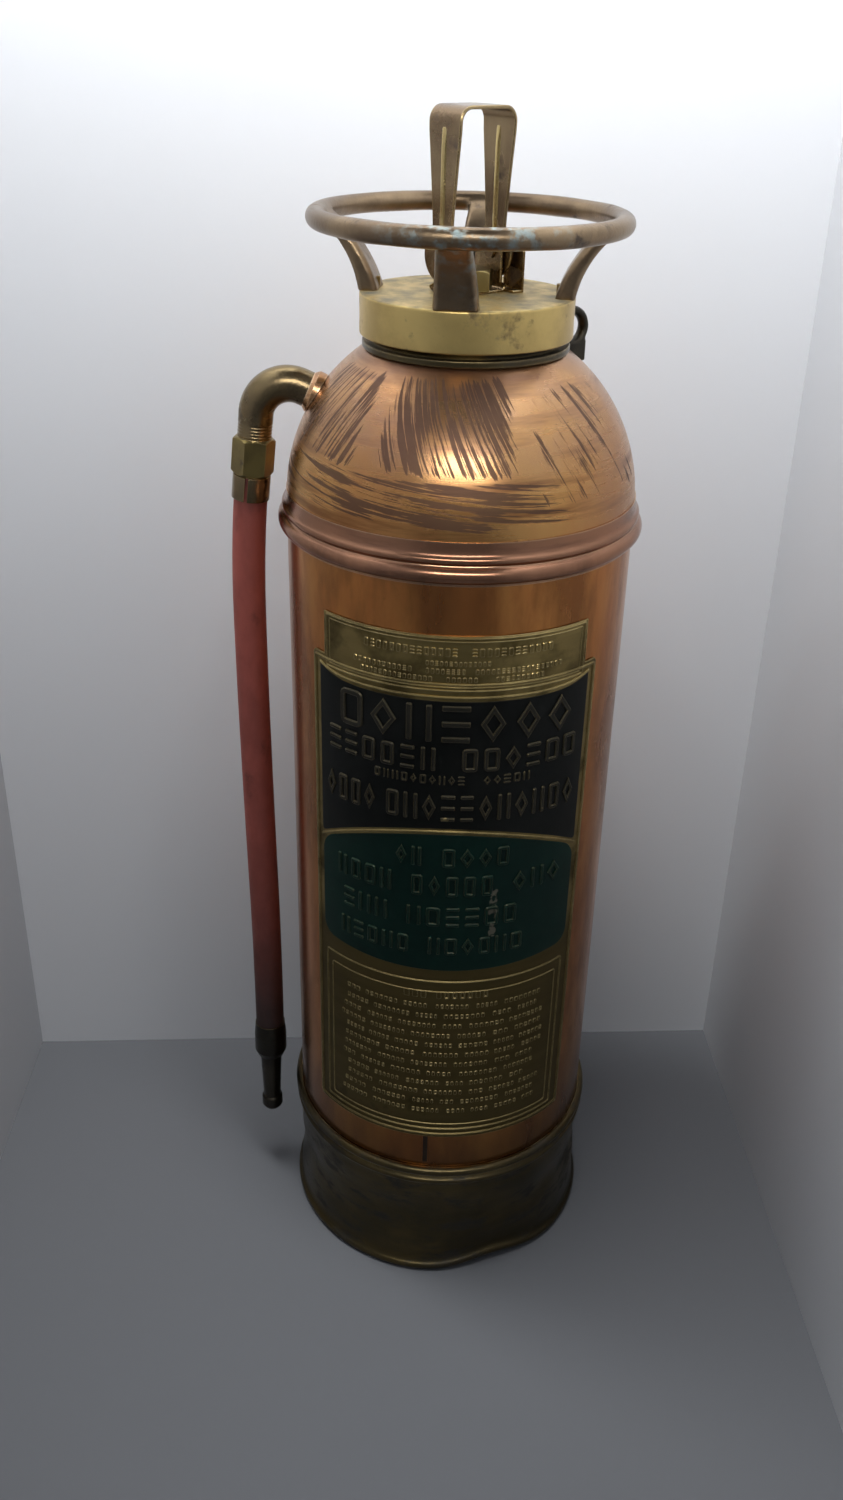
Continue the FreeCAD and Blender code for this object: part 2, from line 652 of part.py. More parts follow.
def make_handle():
    """A round ring on four flat arms that taper and flare out from the cap's rim."""
    body = new_body("handle_casting")
    side = sketch_on(body, "XZ_Plane", "arm_side")
    add_loop(side, [
        (41.5, cap_top), (cap_radius - 0.1, cap_top, 47), (ring_radius - 1.6, ring_height - 3),
        (ring_radius - 3.5, ring_height + 2.2, -58.5),
    ])
    arm = pad(body, side, arm_width)
    taper = sketch_on(body, "YZ_Plane", "arm_taper")
    half_foot = arm_width / 2
    for sign in (1, -1):
        add_loop(taper, [
            (half_foot * sign, cap_top + 3), ((half_foot - 2.4) * sign, ring_height - 8),
            ((half_foot - 2.4) * sign, ring_height + 4), ((half_foot + 2) * sign, ring_height + 4),
            ((half_foot + 2) * sign, cap_top + 3),
        ])
    cut = pocket(body, taper, ring_radius, middle=False, flip=True)
    around(body, [arm, cut], 4)
    ring = sketch_on(body, "XZ_Plane", "ring_section")
    add_circle(ring, ring_radius, ring_height, bar_radius)
    turn = body.newObject("PartDesign::Revolution", "ring_turn")
    turn.Profile = ring
    turn.ReferenceAxis = (ring, ["V_Axis"])
    turn.Angle = 360
    body.Placement = turn_about(Z_AXIS, arm_azimuth.value)
    depth = 5.5
    holes = rivet_pin("handle_rivet_holes", rivet_radius, rivet_circle, cap_top, cap_top + depth)
    combine("Cut", "carry_handle", body, holes)
    rivet_pin("handle_rivets", rivet_radius, rivet_circle, rim_height + gasket_thickness, cap_top + depth)


# ---------------------------------------------------------------- guard
def make_guard():
    """An upright U of strap. Its own X axis runs along the hinge pins."""
    inner = guard_half - strap_thickness
    bottom = pin_height - ear_radius - 1
    corner = 7.0
    band = new_body("guard_band")
    front = sketch_on(band, "XZ_Plane", "guard_front")
    add_loop(front, [
        (-guard_half, bottom), (-guard_half, guard_top - corner, corner),
        (-guard_half + corner, guard_top), (guard_half - corner, guard_top, corner),
        (guard_half, guard_top - corner), (guard_half, bottom), (inner, bottom),
        (inner, guard_top - corner, (corner - strap_thickness) * -1),
        (guard_half - corner, guard_top - strap_thickness),
        (-guard_half + corner, guard_top - strap_thickness, (corner - strap_thickness) * -1),
        (-inner, guard_top - corner), (-inner, bottom),
    ])
    pad(band, front, strap_top_half * 2)
    ribs = sketch_on(band, "XZ_Plane", "guard_ribs")
    rib_height = 0.8
    for sign in (1, -1):
        add_loop(ribs, [
            ((guard_half - 0.5) * sign, pin_height + 8), ((guard_half + rib_height) * sign, pin_height + 10),
            ((guard_half + rib_height) * sign, guard_top - 10), ((guard_half - 0.5) * sign, guard_top - 8),
        ])
    pad(band, ribs, 2.6)

    profile = new_body("guard_profile")
    side = sketch_on(profile, "YZ_Plane", "guard_side")
    ear_top = pin_height + root(ear_radius * ear_radius - strap_low_half * strap_low_half)
    shoulder = guard_top - 9
    lowest = pin_height - ear_radius
    add_loop(side, [
        (strap_top_half, guard_top + 1), (strap_top_half, shoulder), (strap_low_half, ear_top, ear_radius),
        (ear_radius, pin_height, ear_radius), (0, lowest, ear_radius),
        (-ear_radius, pin_height, ear_radius), (-strap_low_half, ear_top), (-strap_top_half, shoulder),
        (-strap_top_half, guard_top + 1),
    ])
    add_circle(side, 0, pin_height, pin_radius + pin_fit)
    pad(profile, side, guard_half * 3)
    guard = combine("Common", "guard", band, profile)
    guard.Placement = turn_about(Z_AXIS, guard_azimuth.value)


def make_bracket():
    """A bent plate: a base under the gland nut, two ears for the pins and a leaf that steadies the guard."""
    inner = bracket_half - plate_thickness
    ear_half = 8.0
    base_half = 11.0
    body = new_body("guard_bracket")
    base = sketch_on(body, "XY_Plane", "bracket_base")
    leaf_outer = bracket_half + 5.6
    leaf_inner = leaf_outer - 1.2
    add_loop(base, [
        (-bracket_half, -base_half), (bracket_half, -base_half), (bracket_half, -17), (leaf_outer, -17),
        (leaf_outer, -4), (bracket_half, -4), (bracket_half, base_half), (-bracket_half, base_half),
    ])
    pad(body, base, plate_thickness, middle=False)
    ears = sketch_on(body, "YZ_Plane", "bracket_ears")
    pin_level = pin_height - cap_top
    add_loop(ears, [
        (-ear_half, 0), (-ear_half, pin_level, ear_half), (0, pin_level + ear_half, ear_half),
        (ear_half, pin_level), (ear_half, 0),
    ])
    add_circle(ears, 0, pin_level, pin_radius)
    pad(body, ears, bracket_half * 2)
    gap = sketch_on(body, "XZ_Plane", "bracket_gap")
    add_loop(gap, [(-inner, plate_thickness), (inner, plate_thickness), (inner, 40), (-inner, 40)])
    pocket(body, gap, 60)
    hole = sketch_on(body, "XY_Plane", "bracket_hole")
    add_circle(hole, 0, 0, boss_radius + 0.3)
    pocket(body, hole, plate_thickness * 4)
    leaf = sketch_on(body, "XY_Plane", "bracket_leaf")
    add_loop(leaf, [(leaf_inner, -17), (leaf_outer, -17), (leaf_outer, -4), (leaf_inner, -4)])
    pad(body, leaf, 19, middle=False)
    body.Placement = turn_about(Z_AXIS, guard_azimuth.value, Vector(0, 0, cap_top.value))

    pins = new_body("guard_pins")
    section = sketch_on(pins, "XZ_Plane", "pin_section")
    head = pin_radius + 1.6
    start = bracket_half - 2.7
    end = guard_half + 0.2
    for sign in (1, -1):
        add_loop(section, [
            (start * sign, 0), (start * sign, pin_radius + 1.2), (inner * sign, pin_radius + 1.2),
            (inner * sign, pin_radius), (end * sign, pin_radius), (end * sign, head),
            ((end + 0.6) * sign, head), ((end + 1.4) * sign, head - 1.2), ((end + 1.4) * sign, 0),
        ])
    spin = pins.newObject("PartDesign::Revolution", "pin_turn")
    spin.Profile = section
    spin.ReferenceAxis = (section, ["H_Axis"])
    spin.Angle = 360
    pins.Placement = turn_about(Z_AXIS, guard_azimuth.value, Vector(0, 0, pin_height.value))


# ---------------------------------------------------------------- plunger, gland and cartridge
def make_plunger():
    stem_top = knob_bottom + 4
    tip = chamber_bottom - 1
    turned("plunger_stem", [
        (0, tip), (1.6, tip + 4), (1.6, tip + 11), (stem_radius, tip + 12.4), (stem_radius, stem_top), (0, stem_top),
    ])
    knob_top = knob_bottom + knob_height
    crown = 0.6
    face = knob_radius - 2.5
    crown_radius = (face * face + crown * crown) / (2 * crown)
    turned("striker_knob", [
        (stem_radius, knob_bottom), (knob_radius - 1.5, knob_bottom), (knob_radius, knob_bottom + 1.5),
        (knob_radius, knob_top - 2.5, -2.5), (face, knob_top, crown_radius * -1), (0, knob_top + crown),
        (0, stem_top), (stem_radius, stem_top),
    ])
    turned("spring_collar", [
        (stem_radius, collar_bottom), (chamber_radius - 0.8, collar_bottom),
        (chamber_radius - 0.8, collar_bottom + 3), (stem_radius, collar_bottom + 3),
    ])
    spring = new_body("return_spring")
    wire = sketch_on(spring, "XZ_Plane", "spring_wire")
    lowest = chamber_bottom + wire_radius + 0.05
    coil_height = collar_bottom - chamber_bottom - wire_radius * 2 - 0.1
    add_circle(wire, spring_radius, lowest, wire_radius)
    helix = spring.newObject("PartDesign::AdditiveHelix", "spring_helix")
    helix.Profile = wire
    helix.ReferenceAxis = (wire, ["V_Axis"])
    helix.Mode = "height-turns-angle"
    helix.Turns = 5.5
    bind(helix, "Height", coil_height)


def make_gland():
    bore = boss_radius + 0.1
    bottom = cap_top + plate_thickness
    ceiling = nut_top - 2.7
    corner = nut_flats / math.sqrt(3)
    blank = turned("gland_blank", [
        (bore, bottom), (corner + 0.3, bottom), (corner + 0.3, nut_top - 2), (corner - 2.2, nut_top),
        (stem_radius + stem_fit, nut_top), (stem_radius + stem_fit, ceiling), (bore, ceiling),
    ])
    nut = combine("Common", "gland_nut", blank, hexagon("gland_hexagon", nut_flats, bottom, nut_top))
    nut.Placement = turn_about(Z_AXIS, guard_azimuth.value + 11)
    boss_top = nut_top - 4
    turned("gland_packing", [
        (stem_radius + stem_fit, boss_top), (boss_radius, boss_top),
        (boss_radius, ceiling), (stem_radius + stem_fit, ceiling),
    ])

    under = rim_height + gasket_thickness
    socket_bottom = cartridge_top - 10.5
    turned("cartridge_socket", [
        (stem_radius + stem_fit, boss_top), (boss_radius, boss_top), (boss_radius, under), (19, under),
        (19, under - 5.5), (16, under - 5.5), (16, cartridge_top + 1.5), (cage_radius - 1, cartridge_top + 1.5),
        (cage_radius - 1, socket_bottom), (10.2, socket_bottom), (10.2, chamber_bottom),
        (chamber_radius, chamber_bottom), (chamber_radius, chamber_bottom + 23),
        (stem_radius + stem_fit, chamber_bottom + 23),
    ])
    washer_top = cartridge_top + 1.5
    turned("spring_seat", [
        (2.2, washer_top), (10, washer_top), (10, chamber_bottom), (2.2, chamber_bottom),
    ])
    turned("cartridge_washer", [
        (4, cartridge_top), (10, cartridge_top), (10, washer_top), (4, washer_top),
    ])


def make_cartridge():
    wall = 2.2
    shoulder = cartridge_top - 24
    bottom = cage_bottom + 8
    inside = cartridge_radius - wall
    turned("gas_cartridge", [
        (2.6, cartridge_top), (10, cartridge_top), (10, cartridge_top - 14),
        (cartridge_radius, shoulder), (cartridge_radius, bottom + 9, -9), (cartridge_radius - 9, bottom),
        (0, bottom), (0, bottom + wall), (inside - 7, bottom + wall, 7), (inside, bottom + wall + 7),
        (inside, shoulder - 1), (2.6, cartridge_top - 16),
    ])
    cage = new_body("cartridge_cage")
    cage_top = cartridge_top
    revolve(cage, [
        (8, cage_bottom), (cage_radius, cage_bottom), (cage_radius, cage_top), (cage_radius - 1, cage_top),
        (cage_radius - 1, cage_bottom + 1.2), (8, cage_bottom + 1.2),
    ])
    slot = sketch_on(cage, "YZ_Plane", "cage_slot")
    add_loop(slot, [
        (-5, cage_bottom + 15), (5, cage_bottom + 15), (5, cage_top - 25), (-5, cage_top - 25),
    ])
    cut = pocket(cage, slot, cage_radius + 5, middle=False, flip=True)
    around(cage, [cut], 4)


make_tank()
make_skirt()
make_neck()
make_name_plate()
make_hanger()
make_gooseneck()
make_hose_fittings()
hose_corners = make_hose()
make_nozzle(hose_corners)
make_cap()
make_handle()
make_guard()
make_bracket()
make_plunger()
make_gland()
make_cartridge()
doc.recompute()

NODES = (
    "tank_shell", "dome", "seam_bead", "bottom_head", "base_skirt", "neck_collar", "name_plate", "hanger_eye",
    "gooseneck", "outlet_flange", "outlet_strainer", "union_nut", "union_washer", "hose_tail", "hose_ferrule",
    "hose", "nozzle_ferrule", "nozzle",
    "cap", "cap_gasket", "carry_handle", "handle_rivets",
    "guard", "guard_bracket", "guard_pins",
    "striker_knob", "plunger_stem", "spring_collar", "return_spring",
    "gland_nut", "gland_packing", "cartridge_socket", "spring_seat", "cartridge_washer",
    "gas_cartridge", "cartridge_cage",
)
for item in doc.Objects:
    if {"Invalid", "Error"} & set(item.State):
        raise RuntimeError(f"{item.Label} did not build: {item.State}")
pieces = {item.Label: item for item in doc.Objects}
for node in NODES:
    shape = pieces[node].Shape
    if shape.isNull() or not shape.isValid() or not shape.Solids:
        raise RuntimeError(f"{node} has no valid shape")
for node in NODES:
    shape = pieces[node].Shape
    shape.exportStep(f"parts/{node}.step")
    print(f"{node}: {len(shape.Solids)} solid(s), {shape.Volume / 1000:.2f} cm3")
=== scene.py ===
# %% [markdown]
# # A copper water extinguisher with a carrying ring
#
# The tank is a copper tube with a pressed copper dome, a brass skirt below and a heavy cast cap above.
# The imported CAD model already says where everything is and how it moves. This lesson dresses it: each
# cell makes one piece or one finish, in millimetres, and hangs it on the CAD body that carries it.

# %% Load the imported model
import math
import random

import bmesh
import bpy
from mathutils import Matrix, Vector, noise


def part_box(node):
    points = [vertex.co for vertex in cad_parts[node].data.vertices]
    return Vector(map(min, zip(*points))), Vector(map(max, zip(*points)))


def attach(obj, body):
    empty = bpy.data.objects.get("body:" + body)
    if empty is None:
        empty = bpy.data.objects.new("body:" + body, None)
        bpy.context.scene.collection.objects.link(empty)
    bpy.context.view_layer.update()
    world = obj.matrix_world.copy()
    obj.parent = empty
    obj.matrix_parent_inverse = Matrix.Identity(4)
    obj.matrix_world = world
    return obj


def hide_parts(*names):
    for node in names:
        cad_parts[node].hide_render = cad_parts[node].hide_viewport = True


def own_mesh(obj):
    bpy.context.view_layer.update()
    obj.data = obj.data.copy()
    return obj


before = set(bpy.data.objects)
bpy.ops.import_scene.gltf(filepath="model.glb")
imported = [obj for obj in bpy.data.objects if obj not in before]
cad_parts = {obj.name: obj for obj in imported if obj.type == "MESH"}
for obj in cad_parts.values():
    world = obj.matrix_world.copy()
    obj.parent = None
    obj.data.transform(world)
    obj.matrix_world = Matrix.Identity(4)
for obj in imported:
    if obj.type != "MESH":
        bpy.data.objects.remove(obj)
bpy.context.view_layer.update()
MM = 0.001
TAU = 2 * math.pi


def low_high(node):
    """A CAD node's lowest and highest corner in millimetres."""
    low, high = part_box(node)
    return low / MM, high / MM


shell_low, shell_high = low_high("tank_shell")
TANK_RADIUS = shell_high.x
SEAM = shell_high.z
DOME_CENTRE = SEAM + 9.5
print("tank radius", round(TANK_RADIUS, 2), "seam height", round(SEAM, 1))

# %% [markdown]
# ## The camera
#
# The extinguisher stands near the camera, which is a little above its cap and tips down. A short lens this
# close makes the foot look narrower than the dome, so the distance matters as much as the angle.

# %% Camera
camera_lens = bpy.data.cameras.new("portrait_camera")
camera_lens.sensor_width = 36
camera_lens.lens = 31.9
camera_lens.clip_start = 0.02
camera = bpy.data.objects.new("portrait_camera", camera_lens)
bpy.context.collection.objects.link(camera)
TIP_DOWN = math.radians(28.428)
TURN = math.radians(1.451)
ROLL = math.radians(1.357)
camera.matrix_world = (
    Matrix.Translation((0, -0.66397, 0.67698))
    @ Matrix.Rotation(TURN, 4, "Z")
    @ Matrix.Rotation(math.pi / 2 - TIP_DOWN, 4, "X")
    @ Matrix.Rotation(ROLL, 4, "Z")
)
bpy.context.scene.camera = camera
print("camera tips down", round(math.degrees(TIP_DOWN), 1), "degrees")

# %% [markdown]
# ## The hose
#
# The hose is a short stiff length of red rubber that hangs straight down beside the tank, bowed very
# slightly by its own set. A NURBS curve through a few route points is the honest way to make it, because
# the curve is the hose's centreline. Each point's radius is the rubber's real radius, so the bevel depth is
# simply one.

# %% Hose line
HOSE_RADIUS = 8.75
leg_tilt = math.radians(6)
leg_top = Vector((-103.907, 0, 506.277))
leg_down = Vector((-math.sin(leg_tilt), 0, -math.cos(leg_tilt)))
hose_top = leg_top + leg_down * 31.5
hose_end = Vector((-110.0, 0, 96))
hose_route = [
    hose_top, leg_top + leg_down * 68.5, Vector((-111.6, 0, 370)), Vector((-110.8, 0, 270)),
    Vector((-109.3, 0, 170)), hose_end,
]
hose_line = bpy.data.curves.new("hose_line", "CURVE")
hose_line.dimensions = "3D"
spline = hose_line.splines.new("NURBS")
spline.points.add(len(hose_route) - 1)
for point, place in zip(spline.points, hose_route):
    point.co = (*(place * MM), 1)
    point.radius = HOSE_RADIUS * MM
spline.order_u = 3
spline.use_endpoint_u = True
spline.resolution_u = 24
hose_line.bevel_depth = 1.0
hose_line.bevel_resolution = 12
hose_line.use_fill_caps = True
hose = bpy.data.objects.new("red_hose", hose_line)
bpy.context.collection.objects.link(hose)
print("hose hangs from", [round(value) for value in hose_top], "to", [round(value) for value in hose_end])

# %% [markdown]
# ## The white booth
#
# The extinguisher stands in front of pale boards: a floor, a back and two sides. The sides and the floor are
# painted darker than the back, as painted shade. Polished metal shows what is around it, so the boards
# matter more to the copper than the lamps do. Each board is see-through from behind, so that the object can
# be looked at from any side.

# %% Booth boards
def board_finish(name, shade):
    """Plain card in the given colour, clear where it is seen from behind."""
    finish = bpy.data.materials.new(name)
    finish.use_nodes = True
    tree = finish.node_tree
    card = tree.nodes["Principled BSDF"]
    card.inputs["Base Color"].default_value = (*shade, 1)
    card.inputs["Roughness"].default_value = 0.85
    card.inputs["Specular IOR Level"].default_value = 0.2
    clear = tree.nodes.new("ShaderNodeBsdfTransparent")
    facing = tree.nodes.new("ShaderNodeNewGeometry")
    swap = tree.nodes.new("ShaderNodeMixShader")
    tree.links.new(facing.outputs["Backfacing"], swap.inputs[0])
    tree.links.new(card.outputs[0], swap.inputs[1])
    tree.links.new(clear.outputs[0], swap.inputs[2])
    tree.links.new(swap.outputs[0], tree.nodes["Material Output"].inputs[0])
    return finish


def board(name, corners, finish):
    """A flat board through four corners in metres, facing the side they run anticlockwise on."""
    mesh = bpy.data.meshes.new(name)
    mesh.from_pydata(corners, [], [(0, 1, 2, 3)])
    mesh.materials.append(finish)
    panel = bpy.data.objects.new(name, mesh)
    bpy.context.collection.objects.link(panel)
    return panel


BACK_LEFT = (-0.300, 0.103)
BACK_RIGHT = (0.203, 0.147)
FRONT_LEFT = (-0.262, -0.75)
FRONT_RIGHT = (0.275, -0.75)
BOARD_TOP = 1.05
card = board_finish("pale_card", (0.84, 0.85, 0.87))
# The side boards and the floor are the same pale card as the back, painted darker as painted shade: mid grey on the
# sides, dark grey on the floor.
shaded_card = board_finish("shaded_card", (0.52, 0.53, 0.55))
floor_shade_card = board_finish("floor_with_painted_shade", (0.165, 0.171, 0.183))


def upright(name, start, end, finish):
    return board(name, [(*start, 0), (*end, 0), (*end, BOARD_TOP), (*start, BOARD_TOP)], finish)


upright("board_back", BACK_LEFT, BACK_RIGHT, card)
upright("board_left", FRONT_LEFT, BACK_LEFT, shaded_card)
upright("board_right", BACK_RIGHT, FRONT_RIGHT, shaded_card)
board("floor", [(-4, -0.95, 0), (4, -0.95, 0), (4, 4, 0), (-4, 4, 0)], floor_shade_card)

# %% [markdown]
# ## The lamps
#
# Two lamps do different work. One hangs high between the boards, so that they fade from bright to dim on the
# way down, and it is kept out of reflections, where it would be a hard spot on the dome. The other is a
# wide strip in front that shows only in reflections, and it draws the soft golden band round the dome.

# %% Lamps
def soft_lamp(name, place, aim, width, height, watts, tint=(1, 1, 1)):
    """A square lamp that points at a spot."""
    lamp = bpy.data.lights.new(name, "AREA")
    lamp.shape = "RECTANGLE"
    lamp.size, lamp.size_y = width, height
    lamp.energy = watts
    lamp.color = tint
    holder = bpy.data.objects.new(name, lamp)
    bpy.context.collection.objects.link(holder)
    holder.location = place
    holder.rotation_euler = (Vector(aim) - Vector(place)).to_track_quat("-Z", "Y").to_euler()
    return holder


wall_lamp = soft_lamp(
    "high_lamp", (-0.12, -0.06, 1.20), (0.0, 0.13, 0.80), 0.56, 0.14, 10.6, (0.98, 0.99, 1.0))
wall_lamp.visible_glossy = False
front_lamp = soft_lamp(
    "front_lamp", (-0.10, -1.10, 1.20), (0, 0.05, 0.50), 2.1, 0.26, 17.0, (1.0, 0.985, 0.95))
front_lamp.visible_diffuse = False
world = bpy.data.worlds.new("room")
world.use_nodes = True
world.node_tree.nodes["Background"].inputs["Color"].default_value = (0.80, 0.85, 0.93, 1)
world.node_tree.nodes["Background"].inputs["Strength"].default_value = 0.18
bpy.context.scene.world = world
bpy.context.scene.view_settings.view_transform = "Standard"
print("booth and lamps are up")

# %% [markdown]
# ## Small tools for the metalwork
#
# Nearly everything on an extinguisher is turned, bent or pressed. A few helpers cover that: they round,
# curve and cut up an outline, turn it about the tank's axis, and hang the mesh on its body. The outlines are
# closed, so that each piece is a solid with a real wall and nothing is paper-thin.

# %% Outline and lathe helpers
def rounded(corners, steps=5):
    """A closed outline whose corners (x, y, fillet) are rounded. A corner without a fillet stays sharp."""
    points = []
    for number, corner in enumerate(corners):
        here = Vector(corner[:2])
        if len(corner) < 3:
            points.append(here)
            continue
        before = Vector(corners[number - 1][:2]) - here
        after = Vector(corners[(number + 1) % len(corners)][:2]) - here
        half_angle = before.angle(after) / 2
        reach = min(corner[2] / math.tan(half_angle), before.length * 0.48, after.length * 0.48)
        start, end = here + before.normalized() * reach, here + after.normalized() * reach
        for step in range(steps + 1):
            t = step / steps
            points.append(start * (1 - t) ** 2 + here * 2 * t * (1 - t) + end * t * t)
    return points


def bow(centre, radius, first, last, steps=12):
    """Points of an arc in an outline, between two angles in degrees."""
    angles = [math.radians(first + (last - first) * step / steps) for step in range(steps + 1)]
    return [Vector((centre[0] + radius * math.cos(a), centre[1] + radius * math.sin(a))) for a in angles]


def divided(outline, longest):
    """The same outline with its long edges cut up, so that they can be dented."""
    points = []
    for number, here in enumerate(outline):
        after = outline[(number + 1) % len(outline)]
        cuts = max(1, math.ceil((after - here).length / longest))
        points += [here.lerp(after, cut / cuts) for cut in range(cuts)]
    return points


def turned(outline, turns=192, warp=None):
    """The points and faces of an outline of (radius, height) turned about Z."""
    points, faces, rows = [], [], len(outline)
    for step in range(turns):
        angle = TAU * step / turns
        for radius, height in outline:
            if warp:
                radius, height = warp(radius, height, angle)
            points.append(Vector((radius * math.cos(angle), radius * math.sin(angle), height)))
        here, there = step * rows, (step + 1) % turns * rows
        for row in range(rows):
            after = (row + 1) % rows
            faces.append((here + row, there + row, there + after, here + after))
    return points, faces


def piece(name, shape, finish, body, stands_for=(), place=None, crease=38):
    """Makes a mesh object of (points in mm, faces), gives it its finish and hangs it on a CAD body."""
    points, faces = shape
    if place:
        points = [place @ point for point in points]
    work = bmesh.new()
    corners = [work.verts.new(Vector(point) * MM) for point in points]
    for face in faces:
        work.faces.new([corners[number] for number in face])
    bmesh.ops.remove_doubles(work, verts=work.verts, dist=1e-6)
    bmesh.ops.recalc_face_normals(work, faces=work.faces)
    mesh = bpy.data.meshes.new(name)
    work.to_mesh(mesh)
    work.free()
    mesh.shade_smooth()
    mesh.set_sharp_from_angle(angle=math.radians(crease))
    mesh.materials.append(finish)
    made = bpy.data.objects.new(name, mesh)
    bpy.context.collection.objects.link(made)
    hang(made, body, stands_for)
    print(f"{name}: {len(mesh.polygons)} faces on {body}")
    return made


def hang(made, body, stands_for=()):
    """Rides a finished object on its CAD body and hides the CAD nodes that it stands for."""
    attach(made, body)
    if stands_for:
        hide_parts(*stands_for)


def merged(*shapes):
    """Several (points, faces) shapes as one."""
    points, faces = [], []
    for more_points, more_faces in shapes:
        start = len(points)
        points += more_points
        faces += [tuple(start + number for number in face) for face in more_faces]
    return points, faces

# %% [markdown]
# ## Finishes
#
# Old metal is layers: bright metal where hands and cloths rub it, a warm brown skin elsewhere, darker grime
# in patches and dust on top. Each of those effects is a node group that puts out a mask, and every finish
# below is the same recipe with its own amounts. The groups work in the object's own coordinates, so the
# marks stay on the metal when a piece moves.

# %% Node helpers
def add_node(tree, kind, *values, **named):
    """Adds a shader node. Values fill its inputs in order, named ones its properties."""
    node = tree.nodes.new("ShaderNode" + kind)
    for name, value in named.items():
        setattr(node, name, value)
    for number, value in enumerate(values):
        feed(tree, node.inputs[number], value)
    return node


def feed(tree, socket, value):
    """Links a socket to another, or sets its plain value."""
    if isinstance(value, bpy.types.NodeSocket):
        tree.links.new(value, socket)
    elif value is not None:
        socket.default_value = value


def maths(tree, operation, *values, clamp=False):
    return add_node(tree, "Math", *values, operation=operation, use_clamp=clamp).outputs[0]


def times(tree, *values, clamp=False):
    return maths(tree, "MULTIPLY", *values, clamp=clamp)


def between(tree, mask, low, high):
    """A value that goes from low to high as the mask goes from 0 to 1."""
    return add_node(tree, "MapRange", mask, 0.0, 1.0, low, high).outputs[0]


def ramp_between(tree, value, low, high):
    """A smooth 0 to 1 step as the value goes from low to high."""
    node = add_node(tree, "MapRange", value, low, high, 0.0, 1.0, interpolation_type="SMOOTHSTEP")
    return node.outputs[0]


def blend_colours(tree, mask, under, over):
    node = add_node(tree, "Mix", data_type="RGBA")
    feed(tree, node.inputs[0], mask)
    feed(tree, node.inputs[6], under if isinstance(under, bpy.types.NodeSocket) else (*under, 1))
    feed(tree, node.inputs[7], over if isinstance(over, bpy.types.NodeSocket) else (*over, 1))
    return node.outputs[2]


def cloud(tree, place, scale, detail=5.0, roughness=0.6):
    node = add_node(tree, "TexNoise")
    feed(tree, node.inputs["Vector"], place)
    for name, value in (("Scale", scale), ("Detail", detail), ("Roughness", roughness)):
        feed(tree, node.inputs[name], value)
    return node.outputs["Fac"]


def new_group(name, inputs, outputs):
    """An empty node group, with (name, kind, value) inputs and (name, kind) outputs."""
    group = bpy.data.node_groups.new(name, "ShaderNodeTree")
    for label, kind, value in inputs:
        socket = group.interface.new_socket(label, in_out="INPUT", socket_type="NodeSocket" + kind)
        if value is not None:
            socket.default_value = value
    for label, kind in outputs:
        group.interface.new_socket(label, in_out="OUTPUT", socket_type="NodeSocket" + kind)
    return group, group.nodes.new("NodeGroupInput").outputs, group.nodes.new("NodeGroupOutput").inputs


def use_group(tree, group, **values):
    node = tree.nodes.new("ShaderNodeGroup")
    node.node_tree = group
    for name, value in values.items():
        feed(tree, node.inputs[name.replace("_", " ")], value)
    return node.outputs


# %% [markdown]
# ### Unrolled surface
#
# Polishing marks run round a tank, not through it. This group unrolls the surface as if the sheet were laid
# flat: metres round the tank from its front, metres up, and the angle from the front.

# %% Group: unrolled surface
unrolled, given, gives = new_group(
    "unrolled_surface", [], [("Flat", "Vector"), ("Angle", "Float"), ("Height", "Float")])
spot = add_node(unrolled, "TexCoord").outputs["Object"]
x, y, z = add_node(unrolled, "SeparateXYZ", spot).outputs
angle = maths(unrolled, "ARCTAN2", x, times(unrolled, y, -1.0))
arc = times(unrolled, angle, TANK_RADIUS * MM)
feed(unrolled, gives["Flat"], add_node(unrolled, "CombineXYZ", arc, z, 0.0).outputs[0])
feed(unrolled, gives["Angle"], angle)
feed(unrolled, gives["Height"], z)

# %% [markdown]
# ### Worn edges
#
# A rubbed edge is where the surface turns sharply. The Bevel node rounds the normal over a small width, and
# the difference from the true normal is largest at an edge. Noise breaks it up, because wear is never even.

# %% Group: worn edges
worn_edges, given, gives = new_group(
    "worn_edges", [("Width", "Float", 0.0012), ("Wear", "Float", 0.5)], [("Mask", "Float")])
soft_normal = add_node(worn_edges, "Bevel", samples=4)
feed(worn_edges, soft_normal.inputs["Radius"], given["Width"])
true_normal = add_node(worn_edges, "NewGeometry").outputs["Normal"]
likeness = add_node(worn_edges, "VectorMath", soft_normal.outputs[0], true_normal, operation="DOT_PRODUCT")
turn = maths(worn_edges, "SUBTRACT", 1.0, likeness.outputs["Value"])
patchy = cloud(worn_edges, add_node(worn_edges, "TexCoord").outputs["Object"], 160.0)
strength = times(worn_edges, times(worn_edges, turn, 9.0), patchy)
feed(worn_edges, gives["Mask"], times(worn_edges, strength, given["Wear"], clamp=True))

# %% [markdown]
# ### Tarnish clouds
#
# Tarnish grows in soft-edged clouds of several sizes. The group thresholds noise, and a stretch lets the
# same clouds become the streaks that run down or round a piece.

# %% Group: tarnish clouds
tarnish, given, gives = new_group(
    "tarnish_clouds",
    [("Vector", "Vector", None), ("Stretch", "Vector", (1, 1, 1)), ("Scale", "Float", 20.0),
     ("Cover", "Float", 0.5), ("Softness", "Float", 0.15)],
    [("Mask", "Float")])
stretched = add_node(tarnish, "VectorMath", given["Vector"], given["Stretch"], operation="MULTIPLY")
grown = cloud(tarnish, stretched.outputs[0], given["Scale"], 6.0, 0.62)
edge = maths(tarnish, "SUBTRACT", 1.0, given["Cover"])
low_edge = maths(tarnish, "SUBTRACT", edge, given["Softness"])
high_edge = maths(tarnish, "ADD", edge, given["Softness"])
feed(tarnish, gives["Mask"], ramp_between(tarnish, grown, low_edge, high_edge))

